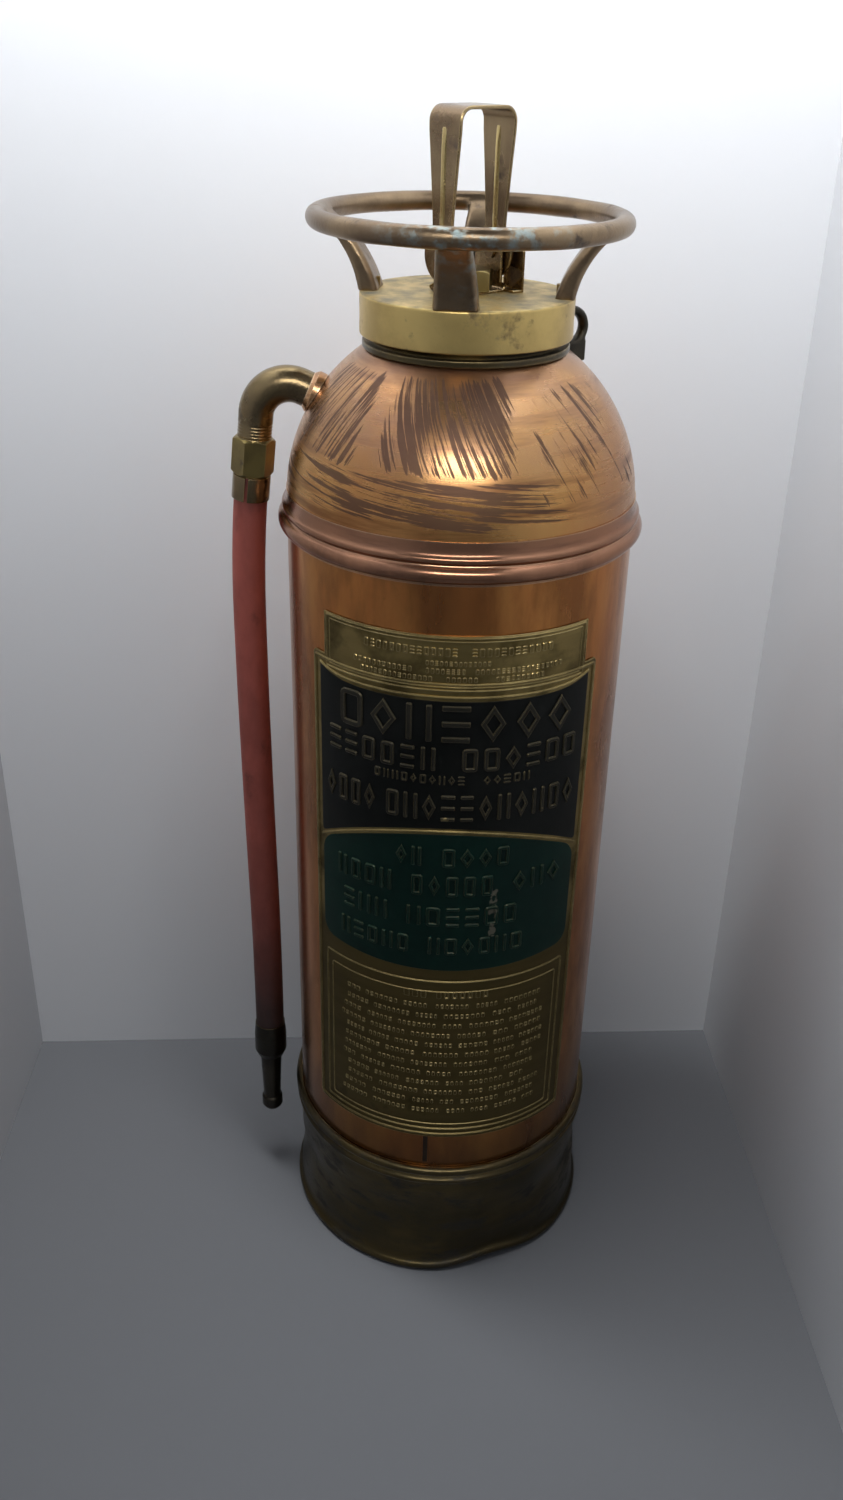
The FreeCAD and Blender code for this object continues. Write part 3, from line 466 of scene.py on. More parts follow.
# %% [markdown]
# ### Rubbed strokes
#
# Someone has wiped this tank with a coarse pad: the tarnish is left in bands of strokes that all run one
# way. Noise stretched along a turned direction gives the strokes, and a second, wider noise decides where
# the pad pressed.

# %% Group: rubbed strokes
strokes, given, gives = new_group(
    "rubbed_strokes",
    [("Vector", "Vector", None), ("Slope", "Float", 0.0), ("Length", "Float", 12.0), ("Width", "Float", 160.0),
     ("Cover", "Float", 0.5), ("Softness", "Float", 0.02)],
    [("Mask", "Float")])
turned_way = add_node(strokes, "VectorRotate", rotation_type="Z_AXIS")
feed(strokes, turned_way.inputs["Vector"], given["Vector"])
feed(strokes, turned_way.inputs["Angle"], given["Slope"])
along, across, _ = add_node(strokes, "SeparateXYZ", turned_way.outputs[0]).outputs
lane = add_node(
    strokes, "CombineXYZ", times(strokes, along, given["Length"]),
    times(strokes, across, given["Width"]), 0.0).outputs[0]
scratch = cloud(strokes, lane, 1.0, 5.0, 0.68)
sweep = cloud(strokes, given["Vector"], 26.0, 3.0)
pressed = maths(strokes, "ADD", times(strokes, scratch, 0.72), times(strokes, sweep, 0.28))
edge = maths(strokes, "SUBTRACT", 1.0, given["Cover"])
feed(strokes, gives["Mask"], ramp_between(
    strokes, pressed, maths(strokes, "SUBTRACT", edge, given["Softness"]),
    maths(strokes, "ADD", edge, given["Softness"])))

# %% [markdown]
# ### Dust and fine grain
#
# Dust settles where the metal faces up. Fine grain is the texture left by casting sand or by the polishing
# wheel, and its stretch sets which.

# %% Groups: settled dust and fine grain
dust, given, gives = new_group(
    "settled_dust", [("Amount", "Float", 0.5), ("Scale", "Float", 60.0)], [("Mask", "Float")])
lies = add_node(dust, "TexCoord")
upward = add_node(dust, "SeparateXYZ", lies.outputs["Normal"]).outputs[2]
drift = ramp_between(dust, cloud(dust, lies.outputs["Object"], given["Scale"]), 0.25, 0.75)
level = ramp_between(dust, upward, 0.35, 0.95)
feed(dust, gives["Mask"], times(
    dust, times(dust, level, drift), given["Amount"], clamp=True))

grain, given, gives = new_group(
    "fine_grain",
    [("Vector", "Vector", None), ("Stretch", "Vector", (1, 1, 1)), ("Scale", "Float", 900.0)],
    [("Height", "Float")])
combed = add_node(grain, "VectorMath", given["Vector"], given["Stretch"], operation="MULTIPLY")
feed(grain, gives["Height"], cloud(grain, combed.outputs[0], given["Scale"], 4.0, 0.7))
print("node groups:", [group.name for group in bpy.data.node_groups])


# %% [markdown]
# ### One recipe for aged metal
#
# Brass, bronze and steel on this object differ only in their colours and amounts, so one function lays the
# coats: a base with a second tone in clouds, grime, bright edges and dust. Principled BSDF stays here in the
# material, and the masks from the groups feed it.

# %% Aged metal
def start_finish(name, metallic=1.0):
    finish = bpy.data.materials.new(name)
    finish.use_nodes = True
    tree = finish.node_tree
    shader = tree.nodes["Principled BSDF"]
    shader.inputs["Metallic"].default_value = metallic
    return finish, tree, shader


def bump(tree, shader, height, strength, distance=0.0004):
    node = add_node(tree, "Bump")
    node.inputs["Strength"].default_value = strength
    node.inputs["Distance"].default_value = distance
    feed(tree, node.inputs["Height"], height)
    feed(tree, shader.inputs["Normal"], node.outputs[0])


def aged_metal(
        name, skin, tone, grime, bright, dusty=(0.30, 0.29, 0.25), gloss=(0.32, 0.55), clouds=24.0, cover=0.5,
        grime_cover=0.35, wear=0.8, edge=0.0010, dust_amount=0.0, pits=0.25, stretch=(1, 1, 1), bare=1.0):
    """A metal with a second tone in clouds, grime, rubbed edges and dust.

    gloss is the roughness where it is clean and where it is dirty.
    """
    finish, tree, shader = start_finish(name)
    spot = add_node(tree, "TexCoord").outputs["Object"]
    tone_mask = use_group(tree, tarnish, Vector=spot, Stretch=stretch, Scale=clouds, Cover=cover, Softness=0.14)[0]
    grime_mask = use_group(
        tree, tarnish, Vector=spot, Stretch=stretch, Scale=clouds * 2.3, Cover=grime_cover, Softness=0.08)[0]
    edges = use_group(tree, worn_edges, Width=edge, Wear=wear)[0]
    dust_mask = use_group(tree, dust, Amount=dust_amount)[0]
    colour = blend_colours(tree, tone_mask, skin, tone)
    colour = blend_colours(tree, grime_mask, colour, grime)
    colour = blend_colours(tree, edges, colour, bright)
    colour = blend_colours(tree, dust_mask, colour, dusty)
    feed(tree, shader.inputs["Base Color"], colour)
    soil = maths(tree, "MAXIMUM", grime_mask, dust_mask)
    rough = between(tree, soil, gloss[0], gloss[1])
    feed(tree, shader.inputs["Roughness"], rough)
    metal = between(tree, soil, bare, bare * 0.55)
    feed(tree, shader.inputs["Metallic"], metal)
    texture = use_group(tree, grain, Vector=spot, Stretch=stretch, Scale=700.0)[0]
    bump(tree, shader, maths(tree, "ADD", texture, times(tree, grime_mask, -0.6)), pits)
    return finish


def add_verdigris(finish, colour, place, low, high):
    """Blends a mineral crust into a metal: full within low of a place, gone beyond high, in metres."""
    tree = finish.node_tree
    shader = tree.nodes["Principled BSDF"]
    spot = add_node(tree, "TexCoord").outputs["Object"]
    reach = add_node(tree, "VectorMath", spot, place, operation="DISTANCE").outputs["Value"]
    patches = ramp_between(tree, cloud(tree, spot, 170.0), 0.46, 0.66)
    crust = times(tree, ramp_between(tree, reach, high, low), patches)
    under = shader.inputs["Base Color"].links[0].from_socket
    feed(tree, shader.inputs["Base Color"], blend_colours(tree, crust, under, colour))
    bare = shader.inputs["Metallic"].links[0].from_socket
    feed(tree, shader.inputs["Metallic"], times(tree, bare, maths(tree, "SUBTRACT", 1.0, crust)))


# The cap's dust colour is dark: on its top it is dust and painted shade together.
cap_finish = aged_metal(
    "cap_brass", (0.68, 0.500, 0.190), (0.52, 0.370, 0.140), (0.20, 0.140, 0.062), (0.72, 0.56, 0.26),
    dusty=(0.125, 0.118, 0.090), gloss=(0.36, 0.62), clouds=30.0, dust_amount=1.0, pits=0.2)
ring_finish = aged_metal(
    "ring_brass", (0.30, 0.215, 0.130), (0.20, 0.140, 0.088), (0.10, 0.072, 0.052), (0.50, 0.40, 0.22),
    gloss=(0.30, 0.50), clouds=35.0, pits=0.35)
add_verdigris(ring_finish, (0.23, 0.28, 0.27), (0.004, -0.085, 0.610), 0.016, 0.060)
strap_finish = aged_metal(
    "strap_brass", (0.30, 0.215, 0.120), (0.205, 0.140, 0.082), (0.10, 0.068, 0.046), (0.66, 0.51, 0.24),
    gloss=(0.27, 0.48), clouds=28.0, wear=1.0, edge=0.0012)
bronze_finish = aged_metal(
    "gooseneck_bronze", (0.30, 0.220, 0.110), (0.19, 0.140, 0.080), (0.055, 0.042, 0.030), (0.45, 0.33, 0.15),
    gloss=(0.24, 0.46), clouds=26.0)
nut_finish = aged_metal(
    "union_brass", (0.31, 0.235, 0.085), (0.21, 0.155, 0.065), (0.07, 0.045, 0.03), (0.52, 0.40, 0.18),
    gloss=(0.28, 0.5), clouds=40.0, grime_cover=0.3)
dark_finish = aged_metal(
    "nozzle_bronze", (0.060, 0.052, 0.040), (0.040, 0.036, 0.030), (0.022, 0.020, 0.018), (0.22, 0.17, 0.09),
    gloss=(0.34, 0.55), clouds=40.0)
skirt_finish = aged_metal(
    "skirt_brass", (0.130, 0.096, 0.042), (0.078, 0.062, 0.033), (0.040, 0.034, 0.024), (0.40, 0.30, 0.15),
    gloss=(0.30, 0.55), clouds=18.0, cover=0.55, grime_cover=0.42, wear=0.9, edge=0.002, stretch=(1, 1, 2.2))
inner_brass = aged_metal(
    "inner_brass", (0.38, 0.28, 0.11), (0.28, 0.20, 0.09), (0.12, 0.09, 0.05), (0.6, 0.46, 0.22))
steel_finish = aged_metal(
    "spring_steel", (0.34, 0.34, 0.34), (0.24, 0.23, 0.22), (0.12, 0.09, 0.07), (0.6, 0.6, 0.6), gloss=(0.28, 0.5))
print("brass, bronze and steel finishes made")

# %% [markdown]
# ### Copper
#
# The tank's copper has four coats: orange metal, golden metal where it was polished, brown blotches that
# hang down the shell, and on the dome the mauve tarnish that the wiping left in strokes. The strokes slope
# one way in front, the other way on the left, and run level round the dome's shoulder, so a table lists each
# wiped patch. A thin film dulls the dome's top and right side. Painted shade darkens the shell towards its
# foot, and one dark run hangs just left of the middle.

# %% Copper finishes
def window(tree, value, start, full, fall, end):
    """1 between full and fall, dropping smoothly to 0 at start and end."""
    return times(tree, ramp_between(tree, value, start, full), ramp_between(tree, value, end, fall))


def stroke_patch(tree, flat, angle, height, slope, angles, heights, cover, length=14.0, width=430.0):
    """Rubbed strokes inside a soft-edged window of the tank's surface."""
    inside = times(tree, window(tree, angle, *angles), window(tree, height, *heights))
    reach = maths(tree, "ADD", times(tree, inside, 0.5), cover - 0.5)
    mask = use_group(
        tree, strokes, Vector=flat, Slope=math.radians(slope), Length=length, Width=width, Cover=reach,
        Softness=0.015)[0]
    return times(tree, mask, ramp_between(tree, inside, 0.02, 0.12))


# Slope in degrees, window of angles, window of heights in metres, cover, then the length and width of the
# strokes where they are not the usual ones.
WIPED = (
    (62, (-0.75, -0.45, 0.25, 0.55), (0.492, 0.503, 0.536, 0.546), 0.505),
    (117, (-1.7, -1.2, -0.72, -0.5), (0.492, 0.502, 0.535, 0.545), 0.500),
    (5, (-2.2, -1.3, 0.5, 1.0), (0.470, 0.480, 0.497, 0.503), 0.500, 9.0, 330.0),
    (60, (0.2, 0.5, 1.2, 1.7), (0.470, 0.49, 0.53, 0.546), 0.46, 10.0, 240.0),
    (70, (1.4, 1.8, 2.6, 2.9), (0.480, 0.50, 0.53, 0.546), 0.50),
)


def copper_metal(name, orange, gold, brown, mauve, wiped, blotch=0.5, gloss=(0.20, 0.42)):
    finish, tree, shader = start_finish(name)
    flat, angle, height = use_group(tree, unrolled)
    spot = add_node(tree, "TexCoord").outputs["Object"]
    colour = blend_colours(
        tree, use_group(tree, tarnish, Vector=spot, Stretch=(1, 1, 0.35), Scale=17.0, Cover=0.5, Softness=0.2)[0],
        orange, gold)
    hanging = use_group(tree, tarnish, Vector=spot, Stretch=(1, 1, 0.28), Scale=38.0, Cover=blotch, Softness=0.16)[0]
    level = use_group(tree, tarnish, Vector=spot, Stretch=(0.5, 0.5, 6), Scale=22.0, Cover=0.42, Softness=0.12)[0]
    on_dome = ramp_between(tree, height, (SEAM - 4) * MM, (SEAM + 12) * MM)
    blotches = add_node(tree, "Mix", on_dome)
    feed(tree, blotches.inputs[2], hanging)
    feed(tree, blotches.inputs[3], level)
    blotches = times(tree, blotches.outputs[0], 0.75)
    colour = blend_colours(tree, blotches, colour, brown)
    specks = use_group(tree, tarnish, Vector=spot, Scale=150.0, Cover=0.30, Softness=0.03)[0]
    colour = blend_colours(tree, times(tree, specks, 0.55), colour, brown)
    soil = times(tree, blotches, 0.5)
    if wiped:
        wiped_mask = None
        for wiping in WIPED:
            patch = stroke_patch(tree, flat, angle, height, *wiping)
            wiped_mask = maths(tree, "MAXIMUM", wiped_mask, patch) if wiped_mask else patch
        film = times(tree, ramp_between(tree, height, 0.488, 0.512), 0.60)
        side = times(tree, ramp_between(tree, angle, 0.55, 1.0), 0.5)
        film = times(tree, maths(tree, "MAXIMUM", film, side), cloud(tree, spot, 55.0, 4.0))
        film = times(tree, film, 1.5, clamp=True)
        colour = blend_colours(tree, film, colour, (0.42, 0.255, 0.185))
        colour = blend_colours(tree, times(tree, wiped_mask, 0.85), colour, mauve)
        soil = maths(tree, "MAXIMUM", soil, wiped_mask)
        neck = ramp_between(tree, height, 0.533, 0.546)
        neck = times(tree, neck, cloud(tree, spot, 90.0))
        colour = blend_colours(tree, neck, colour, mauve)
    else:
        drip = times(tree, window(tree, angle, -0.100, -0.092, -0.066, -0.058),
                     window(tree, height, 0.086, 0.090, 0.108, 0.112))
        # Painted shade: the shell darkens towards its foot, below 0.15 m.
        foot = times(tree, ramp_between(tree, height, 0.150, 0.084), 0.62)
        # The drip mark and the painted shade share this dark colour.
        colour = blend_colours(tree, maths(tree, "MAXIMUM", drip, foot), colour, (0.045, 0.028, 0.018))
        soil = maths(tree, "MAXIMUM", soil, drip)
    edges = use_group(tree, worn_edges, Width=0.0012, Wear=0.9)[0]
    colour = blend_colours(tree, edges, colour, (0.85, 0.60, 0.38))
    feed(tree, shader.inputs["Base Color"], colour)
    feed(tree, shader.inputs["Roughness"], between(tree, soil, *gloss))
    feed(tree, shader.inputs["Metallic"], between(tree, soil, 1.0, 0.75))
    combing = use_group(tree, grain, Vector=flat, Stretch=(0.06, 1, 1), Scale=1500.0)[0]
    bump(tree, shader, maths(tree, "SUBTRACT", combing, times(tree, soil, 0.5)), 0.10, 0.0003)
    return finish


ORANGE, GOLD = (0.57, 0.210, 0.064), (0.70, 0.325, 0.095)
BROWN, MAUVE = (0.215, 0.080, 0.030), (0.092, 0.050, 0.038)
shell_finish = copper_metal("shell_copper", ORANGE, GOLD, BROWN, MAUVE, False)
dome_finish = copper_metal(
    "dome_copper", (0.60, 0.285, 0.105), (0.72, 0.40, 0.14), BROWN, MAUVE, True, 0.5, (0.27, 0.50))
seam_finish = copper_metal(
    "seam_copper", (0.42, 0.210, 0.125), (0.36, 0.180, 0.105), (0.17, 0.085, 0.055), MAUVE, False, 0.42)
print("copper finishes made")

# %% [markdown]
# ### Plate brass, enamel and rubber
#
# The name plate is brass etched and filled: black enamel above, green below, bare brass at its head and
# foot. Painted shade darkens the plate's brass towards its foot and at its lower right corner. Enamel is
# glassy, so it is not metal, and where an edge has chipped the brass shows through. The hose's rubber has
# gone dull and brick red, with grime in patches, and painted shade darkens it towards the nozzle.

# %% Plate, enamel and rubber finishes
def plate_metal(name, tone, dark, cover):
    finish, tree, shader = start_finish(name)
    flat, angle, height = use_group(tree, unrolled)
    spot = add_node(tree, "TexCoord").outputs["Object"]
    wipes = use_group(tree, tarnish, Vector=flat, Stretch=(0.4, 3, 1), Scale=26.0, Cover=0.5, Softness=0.2)[0]
    stain_and_shade = use_group(tree, tarnish, Vector=spot, Scale=30.0, Cover=cover, Softness=0.12)[0]
    # Painted shade: the plate's lower right corner is darker, in patches.
    corner = times(tree, ramp_between(tree, angle, 0.15, 0.55), ramp_between(tree, height, 0.235, 0.18))
    stain_and_shade = maths(tree, "MAXIMUM", stain_and_shade, times(tree, corner, cloud(tree, spot, 45.0), clamp=True))
    # Painted shade: the brass darkens towards the plate's foot.
    painted_shade_foot = times(tree, ramp_between(tree, height, 0.262, 0.238), 0.88)
    stain_and_shade = maths(tree, "MAXIMUM", stain_and_shade, painted_shade_foot)
    colour = blend_colours(tree, wipes, tone, tuple(value * 0.72 for value in tone))
    colour = blend_colours(tree, times(tree, stain_and_shade, 0.8), colour, dark)
    edges = use_group(tree, worn_edges, Width=0.0006, Wear=1.2)[0]
    colour = blend_colours(tree, edges, colour, (0.68, 0.54, 0.26))
    feed(tree, shader.inputs["Base Color"], colour)
    feed(tree, shader.inputs["Roughness"], between(tree, stain_and_shade, 0.30, 0.52))
    bump(tree, shader, use_group(tree, grain, Vector=flat, Stretch=(0.3, 1, 1), Scale=1400.0)[0], 0.15, 0.0002)
    return finish


def enamel(name, fill, faded, chips, letter_wear, scuffed=False):
    finish, tree, shader = start_finish(name, 0.0)
    shader.inputs["Specular IOR Level"].default_value = 0.16
    spot = add_node(tree, "TexCoord").outputs["Object"]
    fade = use_group(tree, tarnish, Vector=spot, Scale=28.0, Cover=0.45, Softness=0.2)[0]
    chipped = use_group(tree, tarnish, Vector=spot, Scale=130.0, Cover=chips, Softness=0.02)[0]
    edges = use_group(tree, worn_edges, Width=0.0005, Wear=letter_wear)[0]
    bare = maths(tree, "MAXIMUM", chipped, edges, clamp=True)
    colour = blend_colours(tree, fade, fill, faded)
    if scuffed:
        _, angle, height = use_group(tree, unrolled)
        scuff = times(tree, window(tree, angle, 0.22, 0.27, 0.29, 0.35),
                      window(tree, height, 0.236, 0.256, 0.280, 0.298))
        scuff = ramp_between(tree, times(tree, scuff, cloud(tree, spot, 150.0)), 0.45, 0.51)
        colour = blend_colours(tree, scuff, colour, (0.155, 0.145, 0.105))
    colour = blend_colours(tree, bare, colour, (0.30, 0.235, 0.11))
    feed(tree, shader.inputs["Base Color"], colour)
    feed(tree, shader.inputs["Metallic"], bare)
    feed(tree, shader.inputs["Roughness"], between(tree, fade, 0.28, 0.42))
    bump(tree, shader, cloud(tree, spot, 500.0), 0.12, 0.0003)
    return finish


# The dark second colour covers real stains and the painted shade at the plate's foot and lower right corner.
plate_finish = plate_metal("plate_brass", (0.35, 0.26, 0.10), (0.042, 0.031, 0.012), 0.44)
black_enamel = enamel("black_enamel", (0.006, 0.007, 0.006), (0.012, 0.013, 0.011), 0.22, 0.35)
green_enamel = enamel("green_enamel", (0.003, 0.021, 0.015), (0.006, 0.032, 0.022), 0.24, 0.30, True)
rubbed_black = enamel("rubbed_black", (0.026, 0.024, 0.018), (0.040, 0.036, 0.026), 0.30, 0.9)
rubbed_green = enamel("rubbed_green", (0.004, 0.026, 0.018), (0.010, 0.038, 0.026), 0.27, 0.5, True)


def rubber(name, fresh, worn, grime_and_shade_colour, low, high):
    """Dull rubber with grime in patches, and painted shade that darkens it fully below the height low and is gone above
    high.
    """
    finish, tree, shader = start_finish(name, 0.0)
    spot = add_node(tree, "TexCoord").outputs["Object"]
    height = add_node(tree, "SeparateXYZ", spot).outputs[2]
    patches = use_group(tree, tarnish, Vector=spot, Stretch=(1, 1, 0.5), Scale=60.0, Cover=0.5, Softness=0.2)[0]
    grime = use_group(tree, tarnish, Vector=spot, Stretch=(1, 1, 0.6), Scale=85.0, Cover=0.36, Softness=0.1)[0]
    # Painted shade: the rubber darkens towards the bottom.
    foot = ramp_between(tree, maths(
        tree, "ADD", height, times(tree, cloud(tree, spot, 30.0), 0.05)), high, low)
    grime_and_shade = maths(tree, "MAXIMUM", times(tree, grime, 0.45), foot)
    colour = blend_colours(tree, patches, fresh, worn)
    colour = blend_colours(tree, grime_and_shade, colour, grime_and_shade_colour)
    feed(tree, shader.inputs["Base Color"], colour)
    feed(tree, shader.inputs["Roughness"], between(tree, patches, 0.52, 0.68))
    weave = use_group(tree, grain, Vector=spot, Stretch=(1, 1, 2.4), Scale=420.0)[0]
    bump(tree, shader, weave, 0.25, 0.0004)
    return finish


# The hose darkens towards its bottom to this near-black colour: grime in patches, and painted shade.
hose_finish = rubber("red_rubber", (0.44, 0.100, 0.072), (0.33, 0.072, 0.052), (0.026, 0.013, 0.010), 0.12, 0.30)
gasket_finish = rubber("black_rubber", (0.020, 0.020, 0.020), (0.032, 0.032, 0.031), (0.012, 0.012, 0.012), 0.0, 0.01)
print("plate, enamel and rubber finishes made")

# %% [markdown]
# ## The tank
#
# The shell is a rolled and brazed copper tube and the dome was spun over a form. Neither is ever perfectly
# round after decades of knocks, and the small unevenness is what makes the reflections in it look real, so
# both are turned from a fine outline and then pushed in by a fraction of a millimetre of smooth noise.

# %% Shell and dome
def uneven(depth, across, down, seed=0.0):
    """A warp that pushes a turned surface in by up to this depth in millimetres."""
    def warp(radius, height, angle):
        spot = Vector((math.cos(angle) * across + seed, math.sin(angle) * across, height * down))
        return radius - depth * (0.5 + 0.5 * noise.noise(spot)), height
    return warp


WALL = 1.2
SHELL_INSIDE = TANK_RADIUS - WALL
shell_outline = divided([Vector(corner) for corner in (
    (SHELL_INSIDE, shell_low.z), (TANK_RADIUS, shell_low.z), (TANK_RADIUS, SEAM), (SHELL_INSIDE, SEAM))], 9.0)
piece("copper_shell", turned(shell_outline, 192, uneven(0.35, 1.8, 0.008)), shell_finish, "tank",
      ("tank_shell",))

neck_high = low_high("neck_collar")[1]
cap_low, cap_high = low_high("cap")
THREAD_RADIUS = 46.9
top_angle = math.degrees(math.acos(THREAD_RADIUS / TANK_RADIUS))
inner_angle = math.degrees(math.acos(THREAD_RADIUS / SHELL_INSIDE))
dome_outline = (
    [Vector((SHELL_INSIDE, SEAM)), Vector((TANK_RADIUS, SEAM))]
    + bow((0, DOME_CENTRE), TANK_RADIUS, 0, top_angle, 40)
    + bow((0, DOME_CENTRE), SHELL_INSIDE, inner_angle, 0, 30))
piece("copper_dome", turned(dome_outline, 192, uneven(0.5, 2.2, 0.02, 5.0)), dome_finish, "tank",
      ("dome",))

# %% [markdown]
# The seam between shell and dome is a rolled bead: a fat half-round, a groove above it where the sheet was
# closed, a small ridge, and a flare that runs out onto the dome. A thin lip shows under the roll.

# %% Seam bead
seam_outline = (
    [Vector((TANK_RADIUS - 0.3, SEAM - 6.6)), Vector((TANK_RADIUS + 0.75, SEAM - 6.6)),
     Vector((TANK_RADIUS + 0.95, SEAM - 5.5))]
    + bow((TANK_RADIUS + 0.2, SEAM - 1.1), 4.3, -70, 66, 16)
    + [Vector((TANK_RADIUS + 1.55, SEAM + 3.6))]
    + bow((TANK_RADIUS + 0.4, SEAM + 5.9), 2.1, -50, 62, 8)
    + [Vector((TANK_RADIUS + 0.75, SEAM + 9.0)), Vector((TANK_RADIUS + 0.35, SEAM + 11.5)),
       Vector((TANK_RADIUS + 0.05, SEAM + 14.5)), Vector((TANK_RADIUS - 0.6, SEAM + 14.5))])


def wavy_seam(radius, height, angle):
    wave = 0.25 * noise.noise(Vector((math.cos(angle) * 2.5, math.sin(angle) * 2.5, height * 0.05)))
    return radius + wave, height + 0.5 * wave


piece("seam_roll", turned(seam_outline, 256, wavy_seam), seam_finish, "tank", ("seam_bead",))

# %% [markdown]
# ## The base skirt
#
# The skirt is brass sheet, waisted in the middle, with a bead under the shell and a wired roll at the foot.
# It has taken every knock of the tank's life: the waist is ragged, and the foot is pushed in and up at the
# right of the front, where it was once dropped. The dent is a smooth bump of the outline in angle and height.

# %% Base skirt
FRONT = -math.pi / 2


def around_front(angle):
    """Radians from the front, positive to the right, for an angle about Z."""
    return (angle - FRONT + math.pi) % TAU - math.pi


def bell(value, centre, spread):
    return math.exp(-(((value - centre) / spread) ** 2))


def knocked(radius, height, angle):
    """The skirt's dents: a pushed-in foot, two flats at the waist, and a general raggedness."""
    side = around_front(angle)
    foot = bell(side, 0.42, 0.30) * bell(height, 6, 22)
    radius -= 4.6 * foot + 1.6 * bell(side, 1.25, 0.22) * bell(height, 46, 10)
    radius -= 1.3 * bell(side, -1.45, 0.16) * bell(height, 62, 9)
    radius += 1.1 * bell(side, -1.5, 0.5) * bell(height, 52, 8) + 1.2 * bell(side, 1.5, 0.5) * bell(height, 33, 9)
    spot = Vector((math.cos(angle) * 3.2, math.sin(angle) * 3.2, height * 0.06))
    radius += 0.9 * noise.noise(spot) * bell(height, 42, 26)
    return radius, height + 3.4 * foot + 0.15 * bell(height, 0, 8)


SKIRT_WALL = 1.3
foot_edge = TANK_RADIUS + 2.2
skirt_outside = (
    [Vector((foot_edge - 3.4, 1.1))] + bow((foot_edge - 1.3, 3.1), 3.05, -110, 58, 14)
    + [Vector((foot_edge - 0.55, 7.4)), Vector((foot_edge - 0.7, 12)), Vector((foot_edge - 1.5, 22)),
       Vector((foot_edge - 2.5, 33)), Vector((foot_edge - 2.9, 43)), Vector((foot_edge - 2.3, 52)),
       Vector((foot_edge - 1.0, 61)), Vector((foot_edge - 0.4, 69)), Vector((foot_edge - 0.6, 72.6))]
    + bow((foot_edge - 1.0, 76.0), 2.2, -65, 60, 8)
    + [Vector((foot_edge - 0.6, 79.4))] + bow((foot_edge - 1.2, 82.9), 2.9, -70, 80, 10))
skirt_inside = [
    Vector((point.x - SKIRT_WALL, point.y)) for point in reversed(skirt_outside) if 7 < point.y < 73]
skirt_inside = [Vector((TANK_RADIUS + 0.15, 85.6)), Vector((TANK_RADIUS + 0.15, 73))] + skirt_inside
piece("skirt", turned(divided(skirt_outside + skirt_inside, 5.0), 224, knocked), skirt_finish, "tank",
      ("base_skirt",))

# %% [markdown]
# ## Neck, cap and gasket
#
# The filling neck is threaded, and the cap screws over it. Cast brass is satin where it was machined, so
# the cap's side is turned with small chamfers and its top is very slightly crowned.

# %% Neck and cap
def thread_outline(radius, low, high, pitch, depth):
    """The outside of a thread, from its low end up, as a row of small teeth."""
    points, count = [], round((high - low) / pitch)
    for turn_number in range(count):
        start = low + turn_number * pitch
        points += [Vector((radius - depth, start)), Vector((radius, start + pitch * 0.35)),
                   Vector((radius, start + pitch * 0.6))]
    return points


FLANGE_TOP = 545.4
neck_outline = (
    rounded([(38.2, FLANGE_TOP - 10.5), (THREAD_RADIUS - 0.6, FLANGE_TOP - 10.5), (THREAD_RADIUS - 0.6, 543.4),
             (neck_high.x - 1.6, 541.6), (neck_high.x, 542.4, 0.5), (neck_high.x, FLANGE_TOP, 0.7),
             (THREAD_RADIUS - 0.8, FLANGE_TOP)])
    + thread_outline(THREAD_RADIUS, FLANGE_TOP + 0.6, neck_high.z - 0.8, 3.5, 0.8)
    + [Vector((THREAD_RADIUS - 0.9, neck_high.z)), Vector((38.2, neck_high.z))])
piece("neck", turned(neck_outline, 160), skirt_finish, "tank", ("neck_collar",))

CAP_RADIUS = cap_high.x
CAP_TOP = 567.5
cap_inside = THREAD_RADIUS + 0.35
cap_under = CAP_TOP - 5
cap_outline = rounded([
    (9.8, cap_under), (9.8, CAP_TOP + 0.25), (CAP_RADIUS - 6, CAP_TOP + 0.1), (CAP_RADIUS, CAP_TOP, 1.3),
    (CAP_RADIUS - 0.1, cap_low.z + 9), (CAP_RADIUS, cap_low.z, 0.9), (cap_inside, cap_low.z, 0.4),
    (cap_inside, cap_under)])
piece("cap_casting", turned(divided(cap_outline, 6.0), 192, uneven(0.12, 4.0, 0.1, 9.0)), cap_finish, "cap_body",
      ("cap",))

# %% [markdown]
# ## The name plate
#
# The plate is thin brass bent round the tank, with a tab at its head. Its fields of enamel and its raised
# work are separate layers, as they are on an etched and filled plate: sheet first, then enamel, then the
# pressed borders and marks. Everything is drawn flat, as millimetres round the tank and up it, and wrapped.

# %% Wrapping helpers
plate_low, plate_high = low_high("name_plate")
PLATE = -plate_low.y
PLATE_HALF = PLATE * math.asin(plate_high.x / PLATE)
TAB_HALF = PLATE * math.radians(46)
TAB_FOOT = 404.0


def wrapped(along, height, lift=0.0):
    """A point of the flat drawing, this far above the plate's face."""
    angle = along / PLATE
    return Vector(((PLATE + lift) * math.sin(angle), -(PLATE + lift) * math.cos(angle), height))


def loft(sections, capped=True):
    """A skin over a row of closed sections with equal numbers of points."""
    points, faces, size = [], [], len(sections[0])
    for section in sections:
        points += section
    for row in range(len(sections) - (1 if capped else 0)):
        here, there = row * size, (row + 1) % len(sections) * size
        for number in range(size):
            after = (number + 1) % size
            faces.append((here + number, there + number, there + after, here + after))
    if capped:
        faces.append(tuple(range(size)))
        faces.append(tuple(range(len(points) - size, len(points))))
    return points, faces


def bent_sheet(stations, low, high, inside, outside, bevel=0.25):
    """A sheet bent round the tank between two edge curves, with softened edges."""
    sections = []
    for along in stations:
        bottom, top = low(along), high(along)
        soft = min(bevel, (top - bottom) * 0.4)
        sections.append([
            wrapped(along, height, lift) for height, lift in (
                (bottom, inside), (bottom, outside - soft), (bottom + soft, outside),
                (top - soft, outside), (top, outside - soft), (top, inside))])
    return loft(sections)


